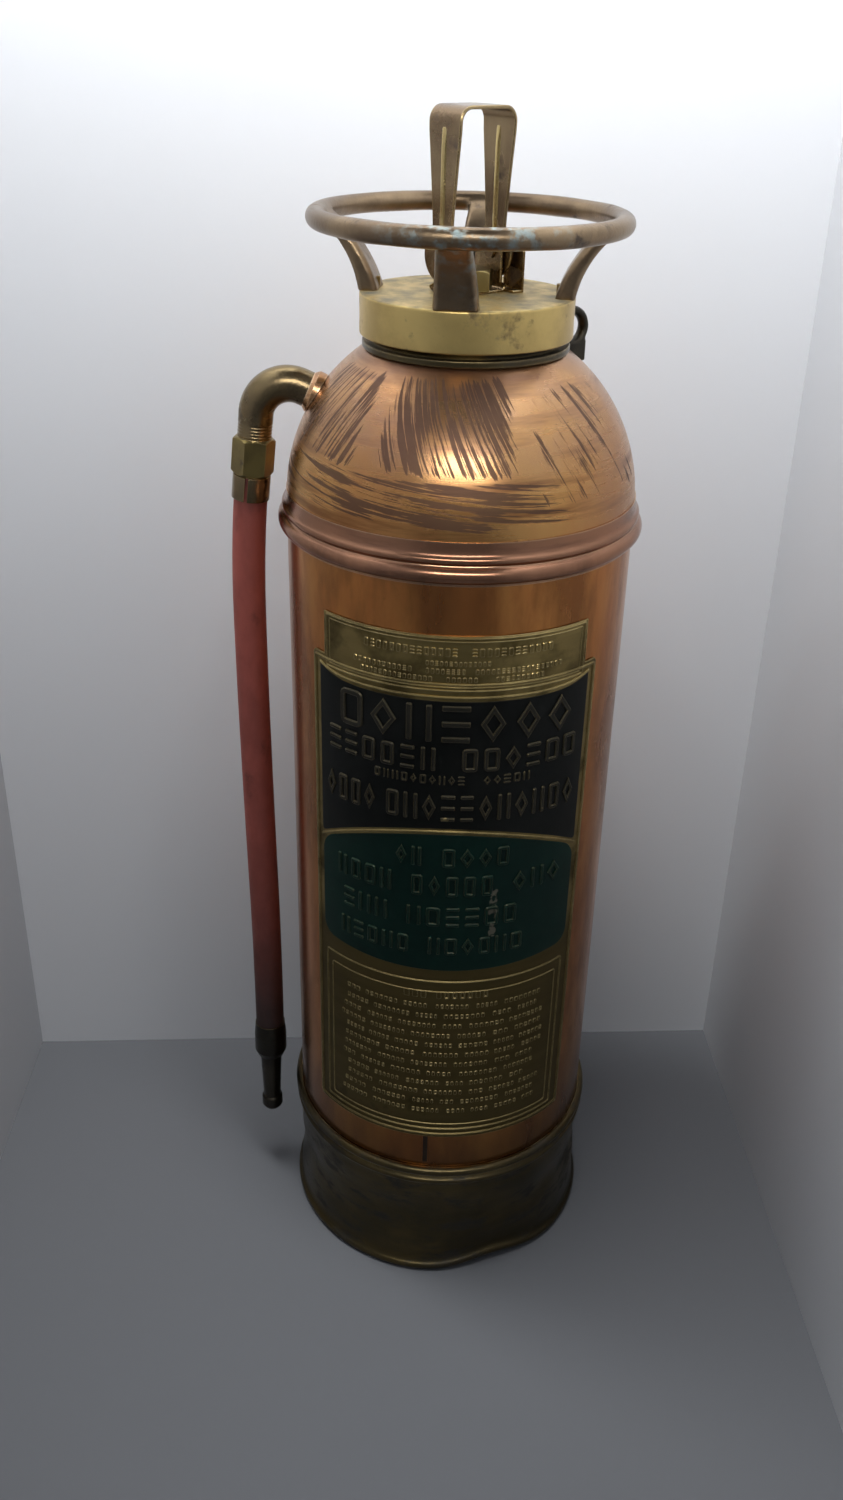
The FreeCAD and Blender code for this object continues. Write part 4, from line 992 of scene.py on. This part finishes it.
def stations(half, step=1.6, dense=5.0):
    """Positions across a field, closer together near its two ends."""
    inner = [along * step for along in range(-int((half - dense) / step), int((half - dense) / step) + 1)]
    ends = [half - dense * (1 - math.sin(math.pi / 2 * k / 7)) for k in range(8)]
    return [-value for value in reversed(ends)] + inner + ends


def inset(outline, distance):
    """A closed anticlockwise outline moved in by a distance, with mitred corners."""
    moved = []
    for number, here in enumerate(outline):
        arriving = (here - outline[number - 1]).normalized()
        leaving = (outline[(number + 1) % len(outline)] - here).normalized()
        one, two = Vector((-arriving.y, arriving.x)), Vector((-leaving.y, leaving.x))
        moved.append(here + (one + two) * (distance / (1 + one.dot(two))))
    return moved


def box_outline(along, height, wide, tall, corner=0.4, steps=1):
    """A rounded rectangle about a point of the flat drawing."""
    corner = min(corner, wide * 0.45, tall * 0.45)
    points = []
    for quarter, (side, up) in enumerate(((1, 1), (-1, 1), (-1, -1), (1, -1))):
        middle = Vector((along + side * (wide / 2 - corner), height + up * (tall / 2 - corner)))
        for step in range(steps + 1):
            angle = math.pi / 2 * (quarter + step / steps)
            points.append(middle + Vector((math.cos(angle), math.sin(angle))) * corner)
    return points


def raised(outline, profile):
    """A solid mark: the outline climbs through (inset, lift) pairs and closes over its middle."""
    rings = [[wrapped(*spot, lift) for spot in inset(outline, depth)] for depth, lift in profile]
    points, faces = loft(rings)
    size, middle = len(outline), sum(outline, Vector((0, 0))) / len(outline)
    faces = faces[:-2]
    for ring, lift in ((0, profile[0][1]), (len(rings) - 1, profile[-1][1])):
        points.append(wrapped(*middle, lift))
        faces += [
            (ring * size + number, ring * size + (number + 1) % size, len(points) - 1) for number in range(size)]
    return points, faces


def raised_frame(outline, stroke, lift, bevel, sunk=-0.2):
    """A hollow mark: a bead of this stroke that follows the outline."""
    profile = ((0, sunk), (0, lift - bevel), (bevel, lift), (stroke - bevel, lift), (stroke, lift - bevel), (stroke, sunk))
    return loft([[wrapped(*spot, up) for spot in inset(outline, depth)] for depth, up in profile], capped=False)


# %% [markdown]
# ### Sheet and enamel
#
# The black field ends below in an arch, and the green field begins a bead's width under it. Both have
# rounded corners. The curves are plain functions of the distance round the tank, so an edge of one field and
# the bead beside it can share them.

# %% Plate sheet and enamel fields
BLACK_TOP, GREEN_LOW, FIELD_HALF = 393.0, 231.0, 75.5


def arch(along):
    """The lower edge of the black field: highest in the middle."""
    return 320.8 - 24 * (along / 80) ** 2


def eased(half, along, corner):
    """How far a rounded corner pulls an edge in, near the end of a field."""
    past = max(0.0, abs(along) - (half - corner))
    return corner - math.sqrt(max(0.0, corner * corner - past * past))


sheet_spots = [-PLATE_HALF + 1.3 * k for k in range(8)]
sheet_spots = [spot for spot in sheet_spots if spot < -TAB_HALF - 0.2] + [-TAB_HALF - 0.1, -TAB_HALF]
sheet_spots += [2.0 * k for k in range(-35, 0)]
sheet_spots += [0.0] + [-spot for spot in reversed(sheet_spots)]
piece("plate_sheet", bent_sheet(
    sheet_spots, lambda along: plate_low.z + eased(PLATE_HALF, along, 2.0),
    lambda along: plate_high.z if abs(along) <= TAB_HALF + 0.01 else TAB_FOOT - eased(PLATE_HALF, along, 1.5),
    TANK_RADIUS + 0.05 - PLATE, 0.0), plate_finish, "tank", ("name_plate",))
piece("black_field", bent_sheet(
    stations(FIELD_HALF), lambda along: arch(along) + eased(FIELD_HALF, along, 2.5),
    lambda along: BLACK_TOP + 5.5 * (along / FIELD_HALF) ** 8 - eased(FIELD_HALF, along, 1.2), -0.2, 0.14),
    black_enamel, "tank")
GREEN_HALF = FIELD_HALF - 0.5
piece("green_field", bent_sheet(
    stations(GREEN_HALF, dense=9.0), lambda along: GREEN_LOW + 4 * (along / 80) ** 2 + eased(GREEN_HALF, along, 8.0),
    lambda along: arch(along) - 3.2 - eased(GREEN_HALF, along, 7.0), -0.2, 0.14),
    green_enamel, "tank")

# %% [markdown]
# ### Borders
#
# Beads are pressed round the plate, round the tab and round the directions panel at the foot. Each is a
# rounded rectangle of the flat drawing, cut up so that it follows the curve of the tank.

# %% Plate borders
def border(along, height, wide, tall, stroke, lift, corner=2.0):
    outline = divided(box_outline(along, height, wide, tall, corner, 3), 2.5)
    return raised_frame(outline, stroke, lift, min(stroke * 0.4, 0.5))


def bead(half, low, thick, lift):
    return bent_sheet(stations(half, dense=2.0), low, lambda along: low(along) + thick, -0.2, lift, 0.5)


foot_half, foot_middle, foot_tall = 73.5, 170.0, 108.0
tab_middle = (TAB_FOOT + plate_high.z) / 2 - 3.2
piece("plate_borders", merged(
    border(0, (plate_low.z + TAB_FOOT) / 2 + 0.2, PLATE_HALF * 2 - 2.4, TAB_FOOT - plate_low.z - 3.2, 1.7, 0.75),
    border(0, tab_middle, TAB_HALF * 2 - 3.0, plate_high.z - TAB_FOOT + 5.4, 1.1, 0.60, 0.6),
    border(0, tab_middle, TAB_HALF * 2 - 7.5, plate_high.z - TAB_FOOT + 1.4, 0.7, 0.35, 0.6),
    bead(TAB_HALF + 3.0, lambda along: BLACK_TOP + 1.2 + 4.0 * (along / FIELD_HALF) ** 8, 1.6, 0.85),
    bead(FIELD_HALF, lambda along: arch(along) - 2.5, 1.7, 0.65),
    border(0, foot_middle, foot_half * 2, foot_tall, 1.2, 0.55),
    border(0, foot_middle - 1.5, foot_half * 2 - 9, foot_tall - 11, 0.8, 0.40)),
    plate_finish, "tank", crease=30)

# %% [markdown]
# ### Raised marks
#
# The real plate carries raised lettering. Here its place is taken by plain ornament of the same height,
# weight and spacing: frames, rungs, posts and lozenges, which mean nothing. A seeded generator picks them,
# so the plate is the same each time.

# %% Raised marks
def mark(kind, along, height, wide, tall, stroke, lift):
    """One ornament of the flat drawing, as a list of shapes."""
    bevel = min(0.45, stroke * 0.3)
    rise = ((0, -0.2), (0, lift - bevel), (bevel, lift))
    if kind == "frame":
        return [raised_frame(box_outline(along, height, wide, tall, wide * 0.25, 3), stroke, lift, bevel)]
    if kind == "lozenge":
        tip = [Vector((along + wide / 2, height)), Vector((along, height + tall / 2)),
               Vector((along - wide / 2, height)), Vector((along, height - tall / 2))]
        return [raised_frame(tip, stroke * 0.8, lift, bevel * 0.8)]
    if kind == "rungs":
        return [raised(box_outline(along, height + up * (tall - stroke) / 2, wide, stroke, 0.5), rise) for up in (-1, 0, 1)]
    if kind == "posts":
        return [raised(box_outline(along + side * (wide - stroke) / 2, height, stroke, tall, 0.5), rise) for side in (-1, 1)]
    return [raised(box_outline(along, height, wide, tall, 0.5), rise)]


def mark_row(draw, groups, height, tall, stroke, lift, width=0.72, gap=0.24, kinds=("frame", "rungs", "posts", "lozenge")):
    """A row of marks. groups are (first, last) stretches of the row, with blanks between them."""
    shapes = []
    for first, last in groups:
        count = max(1, round((last - first) / (tall * (width + gap))))
        pitch = (last - first) / count
        for number in range(count):
            kind = kinds[draw.randrange(len(kinds))]
            wide = pitch - tall * gap * draw.uniform(0.8, 1.1)
            shapes += mark(kind, first + pitch * (number + 0.5), height, wide, tall, stroke, lift)
    return shapes


draw = random.Random(1915)
black_rows = mark_row(draw, ((-62, 66),), 380.8, 20.0, 3.0, 1.25, 0.60, 0.26)
black_rows += mark_row(draw, ((-69, -6), (4, 70)), 361.0, 13.0, 2.2, 1.1, 0.60, 0.26)
black_rows += mark_row(draw, ((-40, 8), (16, 42)), 349.3, 5.2, 1.1, 0.7, 0.62, 0.30)
black_rows += mark_row(draw, ((-71, -38), (-34, 71)), 333.2, 15.0, 2.1, 1.05, 0.44, 0.18)
piece("black_marks", merged(*black_rows), rubbed_black, "tank", crease=30)
green_rows = mark_row(draw, ((-28, -12), (-4, 34)), 303.5, 11.5, 2.0, 1.1, 0.58, 0.24)
green_rows += mark_row(draw, ((-64, -28), (-20, 26), (34, 66)), 286.0, 12.5, 2.0, 1.1, 0.56, 0.24)
green_rows += mark_row(draw, ((-60, -30), (-22, 40)), 266.5, 12.0, 2.0, 1.1, 0.56, 0.24)
green_rows += mark_row(draw, ((-62, -18), (-10, 44)), 247.5, 11.0, 1.9, 1.0, 0.56, 0.24)
piece("green_marks", merged(*green_rows), rubbed_green, "tank", crease=30)

small = ("block", "frame", "block", "block", "rungs")
brass_rows = mark_row(draw, ((-46, 2), (8, 50)), 418.8, 4.4, 1.0, 0.6, 0.55, 0.25, small)
brass_rows += mark_row(draw, ((-14, 18),), 412.9, 2.6, 0.7, 0.45, 0.6, 0.3, small)
brass_rows += mark_row(draw, ((-52, -20), (-14, 6), (10, 56)), 408.8, 2.9, 0.8, 0.5, 0.6, 0.3, small)
brass_rows += mark_row(draw, ((-48, -10), (-4, 12), (20, 46)), 404.6, 2.8, 0.8, 0.5, 0.6, 0.3, small)
brass_rows += mark_row(draw, ((-22, -8), (-4, 26)), 214.5, 5.0, 1.1, 0.55, 0.6, 0.28, small)
for line in range(12):
    height = 206.5 - 6.9 * line
    start = -62 + draw.uniform(0, 5)
    words = []
    while start < 52:
        end = min(start + draw.uniform(8, 24), 62)
        words.append((start, end))
        start = end + draw.uniform(2.5, 4.0)
    brass_rows += mark_row(draw, words, height, 3.0, 0.8, 0.38, 0.62, 0.32, ("block", "block", "frame"))
piece("brass_marks", merged(*brass_rows), plate_finish, "tank", crease=30)

# %% [markdown]
# ## The carrying ring
#
# Ring and arms are one brass casting. Separate tubes pushed into each other would show hard seams, so the
# ring and its four flared arms are lofted roughly, fused by a voxel remesh and smoothed, which leaves the
# small fillets a casting has.

# %% Ring and arms
def swung(start, end, radius, steps=10):
    """Points of an arc from start to end. It bulges left of the way for a positive radius."""
    chord = end - start
    left = Vector((-chord.y, chord.x)).normalized() * (1 if radius > 0 else -1)
    radius = abs(radius)
    centre = (start + end) / 2 - left * math.sqrt(radius * radius - chord.length_squared / 4)
    first, last = start - centre, end - centre
    sweep = first.angle_signed(last)
    points = []
    for step in range(steps + 1):
        turn_by = -sweep * step / steps
        points.append(centre + Vector((
            first.x * math.cos(turn_by) - first.y * math.sin(turn_by),
            first.x * math.sin(turn_by) + first.y * math.cos(turn_by))))
    return points


def cast(name, shape, voxel, smoothing, finish, body, stands_for=()):
    """Fuses overlapping closed shapes into one casting with soft inside corners."""
    made = piece(name, shape, finish, body, stands_for, crease=180)
    fuse = made.modifiers.new("fuse", "REMESH")
    fuse.mode, fuse.voxel_size = "VOXEL", voxel * MM
    soften = made.modifiers.new("soften", "SMOOTH")
    soften.factor, soften.iterations = 0.5, smoothing
    bpy.context.view_layer.update()
    settled = bpy.data.meshes.new_from_object(made.evaluated_get(bpy.context.evaluated_depsgraph_get()))
    made.modifiers.clear()
    made.data = settled
    settled.shade_smooth()
    if not settled.materials:
        settled.materials.append(finish)
    print(f"{name}: cast into {len(settled.polygons)} faces")
    return made


RING_RADIUS, RING_HEIGHT, BAR_RADIUS, ARM_TURN = 72.1, 600.5, 4.85, math.radians(-6)
ring_sections = []
for step in range(120):
    angle = TAU * step / 120
    out = Vector((math.cos(angle), math.sin(angle), 0))
    thick = BAR_RADIUS + 0.25 * noise.noise(out * 3)
    ring_sections.append([
        out * (RING_RADIUS + thick * math.cos(TAU * k / 20)) + Vector((0, 0, RING_HEIGHT + thick * math.sin(TAU * k / 20)))
        for k in range(20)])
outer_side = swung(Vector((CAP_RADIUS - 0.2, CAP_TOP - 0.4)), Vector((RING_RADIUS - 1.2, RING_HEIGHT - 2.5)), 47)
inner_side = swung(Vector((42.0, CAP_TOP - 0.4)), Vector((RING_RADIUS - 3.5, RING_HEIGHT + 2.0)), 58.5)
arm_sections = []
for step, (inner, outer) in enumerate(zip(inner_side, outer_side)):
    half = 10.6 - 2.6 * min(1, step / 8)
    across = (outer - inner).normalized()
    arm_sections.append([
        Vector((spot.x, side, spot.y)) for spot, side in (
            (inner, half - 1.6), (inner + across * 1.4, half), (outer - across * 1.4, half), (outer, half - 1.6),
            (outer, 1.6 - half), (outer - across * 1.4, -half), (inner + across * 1.4, -half), (inner, 1.6 - half))])
arm_points, arm_faces = loft(arm_sections)
arms = [
    ([Matrix.Rotation(ARM_TURN + quarter * math.pi / 2, 4, "Z") @ point for point in arm_points], arm_faces)
    for quarter in range(4)]
cast("carrying_ring", merged(loft(ring_sections, capped=False), *arms), 0.95, 5, ring_finish, "cap_body",
     ("carry_handle",))

# %% [markdown]
# ## The guard and what it covers
#
# A brass strap, bent to a U, stands over the striker knob so that it can't be hit by accident. It is wide
# at the top, tapers down each leg and ends in round ears on two pins. One loft follows the U; at each
# station the strap's half width comes from the taper, and near the ends from the ear's circle.

# %% Guard strap
GUARD_TURN = math.radians(42)
guard_high = low_high("guard")[1]
PIN_HEIGHT, EAR = 585.0, 12.3
GUARD_TOP, GUARD_HALF, STRAP = guard_high.z, 17.3, 1.6
across_cap = Matrix.Rotation(GUARD_TURN, 4, "Z")


def strap_half(height):
    """Half the strap's width at a height: the taper, or the ear's circle where that is wider."""
    taper = 6.75 + (10.85 - 6.75) * min(1, max(0, (height - 595.0) / 44)) ** 1.2
    ear = math.sqrt(max(0.0, EAR * EAR - (height - PIN_HEIGHT) ** 2))
    return ear if height < PIN_HEIGHT else max(taper, ear)


def strap_section(middle, outward, half, thick):
    """A flat section across the strap with softened edges. outward is the strap's outer face."""
    soft = min(0.35, half * 0.5)
    return [
        middle + outward * (side_out * thick / 2) + Vector((0, side, 0))
        for side_out, side in (
            (1, half - soft), (1, soft - half), (0.45, -half), (-0.45, -half), (-1, soft - half), (-1, half - soft),
            (-0.45, half), (0.45, half))]


def bent_path(half, low, top, corner):
    """Half of an upright U in x and z with its outward direction, from its low end to the middle of its top."""
    path = [(Vector((half, 0, low + (top - corner - low) * (1 - math.cos(math.pi / 2 * k / 26)))), Vector((1, 0, 0)))
            for k in range(27)]
    for k in range(1, 9):
        angle = math.pi / 2 * k / 8
        out = Vector((math.cos(angle), 0, math.sin(angle)))
        path.append((Vector((half - corner, 0, top - corner)) + out * corner, out))
    return path + [(Vector((0, 0, top)), Vector((0, 0, 1)))]


def mirrored(path):
    """A half path, then its mirror image, as one run."""
    flip = Matrix.Scale(-1, 4, Vector((1, 0, 0)))
    return path + [(flip @ spot, flip @ out) for spot, out in reversed(path[:-1])]


guard_path = mirrored(bent_path(GUARD_HALF - STRAP / 2, PIN_HEIGHT - EAR + 0.05, GUARD_TOP - STRAP / 2, 7 - STRAP / 2))
piece("guard_strap", loft([
    strap_section(spot, out, max(0.6, strap_half(spot.z)), STRAP) for spot, out in guard_path]),
    strap_finish, "guard_body", ("guard",), across_cap, crease=30)
rib_finish = aged_metal(
    "rubbed_rib", (0.60, 0.46, 0.20), (0.46, 0.34, 0.15), (0.20, 0.14, 0.07), (0.72, 0.58, 0.30), gloss=(0.25, 0.45))
ribs = []
for side, face, out in ((1, GUARD_HALF, 1), (-1, GUARD_HALF, 1), (1, GUARD_HALF - STRAP, -1), (-1, GUARD_HALF - STRAP, -1)):
    sections = []
    for k in range(25):
        rise = PIN_HEIGHT + 8 + (GUARD_TOP - 9 - PIN_HEIGHT - 8) * k / 24
        proud = 0.85 * math.sin(math.pi * min(1, max(0.04, min(k, 24 - k) / 5)) / 2)
        sections.append([
            Vector((side * (face + out * ((proud + 0.3) * math.sin(math.pi * j / 8) - 0.3)),
                    1.7 * math.cos(math.pi * j / 8), rise))
            for j in range(9)])
    ribs.append(loft(sections))
piece("guard_ribs", merged(*ribs), rib_finish, "guard_body", (), across_cap, crease=50)

# %% [markdown]
# Under the guard stand a bent bracket with the two pins, the hexagonal gland nut that the plunger runs
# through, and the domed striker knob. A hexagon with turned chamfers is a lathe shape whose radius is cut
# down to the flats: that gives the curved lines where a chamfer meets a flat.

# %% Bracket, pins, nuts and knob
def hexagonal(flats):
    """A warp that cuts a turned outline's outside down to a hexagon."""
    def warp(radius, height, angle):
        flat = flats / 2 / math.cos((angle + math.pi / 6) % (math.pi / 3) - math.pi / 6)
        return (min(radius, flat) if radius > flats * 0.44 else radius), height
    return warp


BRACKET_HALF, PLATE_THICK = 15.0, 1.5


def bracket_width(spot):
    ear = math.sqrt(max(0.3, 64 - max(0.0, spot.z - PIN_HEIGHT) ** 2))
    return ear if spot.z > CAP_TOP + 3 else 11.0


bracket_path = [
    (Vector((x, 0, 2 * CAP_TOP + PLATE_THICK - z.z)), out) for x, z, out in (
        (spot.x, spot, Vector((out.x, 0, -out.z))) for spot, out in mirrored(
            bent_path(BRACKET_HALF - 0.75, 2 * CAP_TOP + PLATE_THICK - PIN_HEIGHT - 7.95, CAP_TOP + 0.75, 2.2)))]
leaf = []
for low, high, near, far in ((0.05, 19.0, 19.4, 20.6), (0.05, 1.5, 14.0, 20.6)):
    leaf.append(loft([
        [Vector((x, y, CAP_TOP + z)) for x, y in ((near, -17 + e), (near, -4 - e), (far, -4 - e), (far, -17 + e))]
        for z, e in ((low, 0), (high - 0.5, 0), (high, 0.5))]))
piece("bracket", merged(loft([
    strap_section(spot, out, bracket_width(spot), PLATE_THICK) for spot, out in bracket_path]), *leaf),
    strap_finish, "cap_body", ("guard_bracket",), across_cap, crease=30)

pin_outline = rounded([
    (0, BRACKET_HALF - 2.7), (3.2, BRACKET_HALF - 2.7), (3.2, BRACKET_HALF - 1.5), (2.0, BRACKET_HALF - 1.5),
    (2.0, GUARD_HALF + 0.2), (3.6, GUARD_HALF + 0.2), (3.6, GUARD_HALF + 1.6, 1.2), (0, GUARD_HALF + 1.9)])
pin = turned(pin_outline, 32)
pin_level = Matrix.Translation((0, 0, PIN_HEIGHT))
pins = [([across_cap @ pin_level @ Matrix.Rotation(side * math.pi / 2, 4, "Y") @ point for point in pin[0]], pin[1])
        for side in (1, -1)]
piece("guard_pin_heads", merged(*pins), ring_finish, "cap_body", ("guard_pins",))

gland_low, gland_high = low_high("gland_nut")
piece("gland", turned(divided(rounded([
    (3.1, gland_low.z), (12.3, gland_low.z), (13.0, gland_low.z + 0.5), (13.0, gland_high.z - 1.5),
    (10.8, gland_high.z, 0.3), (3.1, gland_high.z)]), 0.8), 96, hexagonal(22)), nut_finish, "cap_body",
    ("gland_nut",), Matrix.Rotation(GUARD_TURN + math.radians(11), 4, "Z"), crease=24)

knob_low, knob_high = low_high("striker_knob")
KNOB = knob_high.x
piece("knob", turned(rounded([
    (0, knob_low.z), (KNOB - 2.5, knob_low.z, 1.0), (KNOB, knob_low.z + 1.6, 1.2), (KNOB, knob_low.z + 4.6, 1.6),
    (KNOB - 3.4, knob_high.z - 0.5, 2.5), (0, knob_high.z)], 6), 96), nut_finish, "plunger",
    ("striker_knob",))

# %% [markdown]
# ## The outlet
#
# A bronze gooseneck comes out of the dome, turns down and takes the hose on a union nut. Its pipe is a loft
# of circles along a straight, an arc and a straight, with a few thread lines showing above the nut.

# %% Gooseneck
PIPE, BEND = 8.8, 17.0
bend_centre = Vector((-87.0, 0, 504.5))
ENTRY = math.radians(67)
LEG = math.pi - leg_tilt


def pipe_section(middle, along, radius):
    side = Vector((0, 1, 0))
    up = along.cross(side).normalized()
    return [middle + (side * math.cos(TAU * k / 48) + up * math.sin(TAU * k / 48)) * radius for k in range(48)]


entry_point = bend_centre + Vector((math.cos(ENTRY), 0, math.sin(ENTRY))) * BEND
entry_way = Vector((math.sin(ENTRY), 0, -math.cos(ENTRY)))
pipe_run = [(entry_point + entry_way * (18 - k * 1.5), entry_way * -1, PIPE) for k in range(13)]
for k in range(29):
    angle = ENTRY + (LEG - ENTRY) * k / 28
    out = Vector((math.cos(angle), 0, math.sin(angle)))
    pipe_run.append((bend_centre + out * BEND, Vector((-out.z, 0, out.x)), PIPE + 0.3 * math.sin(math.pi * k / 28)))
for k in range(1, 37):
    reach = k * 12.0 / 36
    thread = -0.32 * (0.5 + 0.5 * math.sin(TAU * reach / 1.6)) if reach > 4.5 else 0.0
    pipe_run.append((leg_top + leg_down * reach, leg_down, PIPE + thread))
piece("gooseneck_pipe", loft([pipe_section(*station) for station in pipe_run]), bronze_finish, "tank",
      ("gooseneck",), crease=60)

leg_place = Matrix.Translation(leg_top) @ Matrix.Rotation(leg_tilt, 4, "Y")
UNION_TOP, UNION_LOW, FLATS = -12.1, -30.8, 19.0
piece("union_hexagon", turned(divided(rounded([
    (7.6, UNION_TOP), (9.3, UNION_TOP, 0.3), (11.3, UNION_TOP - 1.5), (11.3, UNION_LOW + 1.3), (9.4, UNION_LOW, 0.3),
    (6.2, UNION_LOW), (6.2, UNION_LOW + 2.4), (7.6, UNION_LOW + 2.4)]), 0.9), 96, hexagonal(FLATS)), nut_finish, "tank",
    ("union_nut",), leg_place @ Matrix.Rotation(math.radians(-18), 4, "Z"), crease=24)

# %% [markdown]
# The hose is held by a split band: the slit faces forward and its lips turn out a little. At the bottom a
# plain sleeve swells over the hose and the tapered nozzle comes out of it, ending in a rolled tip.

# %% Band, sleeve and nozzle
BAND_LOW, BAND_HIGH = -44.0, -31.3
band_outline = rounded([
    (HOSE_RADIUS + 0.05, BAND_LOW), (HOSE_RADIUS + 1.0, BAND_LOW, 0.4), (HOSE_RADIUS + 1.0, BAND_HIGH, 0.4),
    (HOSE_RADIUS + 0.05, BAND_HIGH)], 3)
slit = math.asin(0.75 / HOSE_RADIUS)
band_sections = []
for k in range(73):
    angle = FRONT - 0.13 + slit + (TAU - 2 * slit) * k / 72
    lip = 0.35 * (bell(k, 0, 2.5) + bell(k, 72, 2.5))
    band_sections.append([
        Vector(((r + lip) * math.cos(angle), (r + lip) * math.sin(angle), z)) for r, z in band_outline])
piece("split_band", loft(band_sections), bronze_finish, "tank", ("hose_ferrule",), leg_place)

last_run = hose_route[-2] - hose_end
nozzle_tilt = math.atan2(last_run.x, last_run.z)
nozzle_place = Matrix.Translation(hose_end) @ Matrix.Rotation(nozzle_tilt, 4, "Y")
piece("nozzle_sleeve", turned(rounded([
    (HOSE_RADIUS + 0.05, 20.6), (HOSE_RADIUS + 0.5, 20.6, 0.2), (HOSE_RADIUS + 1.35, 11, 6), (HOSE_RADIUS + 1.35, -1.0, 2),
    (HOSE_RADIUS - 0.4, -5.3, 1.5), (7.0, -5.3), (7.0, 0), (HOSE_RADIUS + 0.05, 0)], 8), 72), dark_finish, "tank",
    ("nozzle_ferrule",), nozzle_place)
TIP = -51.0
piece("nozzle_tip", turned(rounded([
    (3.2, -0.5), (6.7, -0.5), (6.75, -6.5, 1.0), (5.5, TIP + 12.4, 2), (5.6, TIP + 10.4, 0.6), (6.6, TIP + 9.0, 1.2),
    (6.7, TIP + 2.5, 2.6), (5.0, TIP, 0.8), (3.2, TIP, 0.4)], 6), 72), dark_finish, "tank", ("nozzle",),
    nozzle_place)

# %% [markdown]
# ## The hanger eye
#
# A small cast eye stands behind the cap, to hang the extinguisher from a hook. A ring and its foot are fused
# as the carrying ring was.

# %% Hanger eye
eye_place = Matrix.Rotation(math.radians(35), 4, "Z") @ Matrix.Translation((64.5, 0, 545.5))
eye_ring = loft([
    [Vector(((8.5 + 2.4 * math.cos(TAU * j / 12)) * math.cos(a), 3.4 * math.sin(TAU * j / 12),
             (8.5 + 2.4 * math.cos(TAU * j / 12)) * math.sin(a))) for j in range(12)]
    for a in (TAU * k / 40 for k in range(40))], capped=False)
eye_foot = loft([
    [Vector((x, y, z)) for x, y in ((-7.5, -3.2), (9, -3.2), (9, 3.2), (-7.5, 3.2))] for z in (-6.5, -10, -14, -17)])
eye_shape = merged(eye_ring, eye_foot)
cast("hanger", ([eye_place @ point for point in eye_shape[0]], eye_shape[1]), 0.8, 4, dark_finish, "tank",
     ("hanger_eye",))

# %% [markdown]
# ## The return spring
#
# A steel spring under the gland pushes the knob back up. It is a wire lofted along a helix.

# %% Return spring
WIRE, COIL, TURNS, STROKE = 0.6, 5.2, 5.5, 8.0
spring_low, spring_high = low_high("return_spring")
spring_length = spring_high.z - spring_low.z
coil_rings = []
for k in range(int(TURNS * 32) + 1):
    way = TAU * k / 32
    out = Vector((math.cos(way), math.sin(way), 0))
    rise = Vector((0, 0, spring_low.z + WIRE + (spring_length - WIRE * 2) * way / TAU / TURNS))
    coil_rings.append([
        rise + out * (COIL + WIRE * math.cos(TAU * j / 12)) + Vector((0, 0, WIRE * math.sin(TAU * j / 12)))
        for j in range(12)])
coil = piece("coil_spring", loft(coil_rings), steel_finish, "cap_body", ("return_spring",))
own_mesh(coil)

# %% [markdown]
# ## The rest of the CAD pieces
#
# The other nodes are right as they are: the internals that show only when the cap comes off, and small
# fittings. Each takes the finish of its metal.

# %% Finishes for the nodes that stay
staying = {
    inner_brass: ("outlet_strainer", "hose_tail", "handle_rivets", "cartridge_socket", "spring_seat", "spring_collar",
                  "cartridge_cage"),
    dome_finish: ("outlet_flange",),
    steel_finish: ("plunger_stem", "gas_cartridge"),
    gasket_finish: ("cap_gasket", "union_washer", "gland_packing", "cartridge_washer"),
    shell_finish: ("bottom_head",),
}
for finish, nodes in staying.items():
    for node in nodes:
        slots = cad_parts[node].data.materials
        slots.clear()
        slots.append(finish)
print("nodes kept:", sum(len(nodes) for nodes in staying.values()))

# %% [markdown]
# ## The hose on its body
#
# The hose stands in for its CAD solid, which is hidden, and rides on the tank. It ends in a fitting.

# %% Hose on its body
hang(hose, "tank", ("hose",))
hose.data.materials.append(hose_finish)
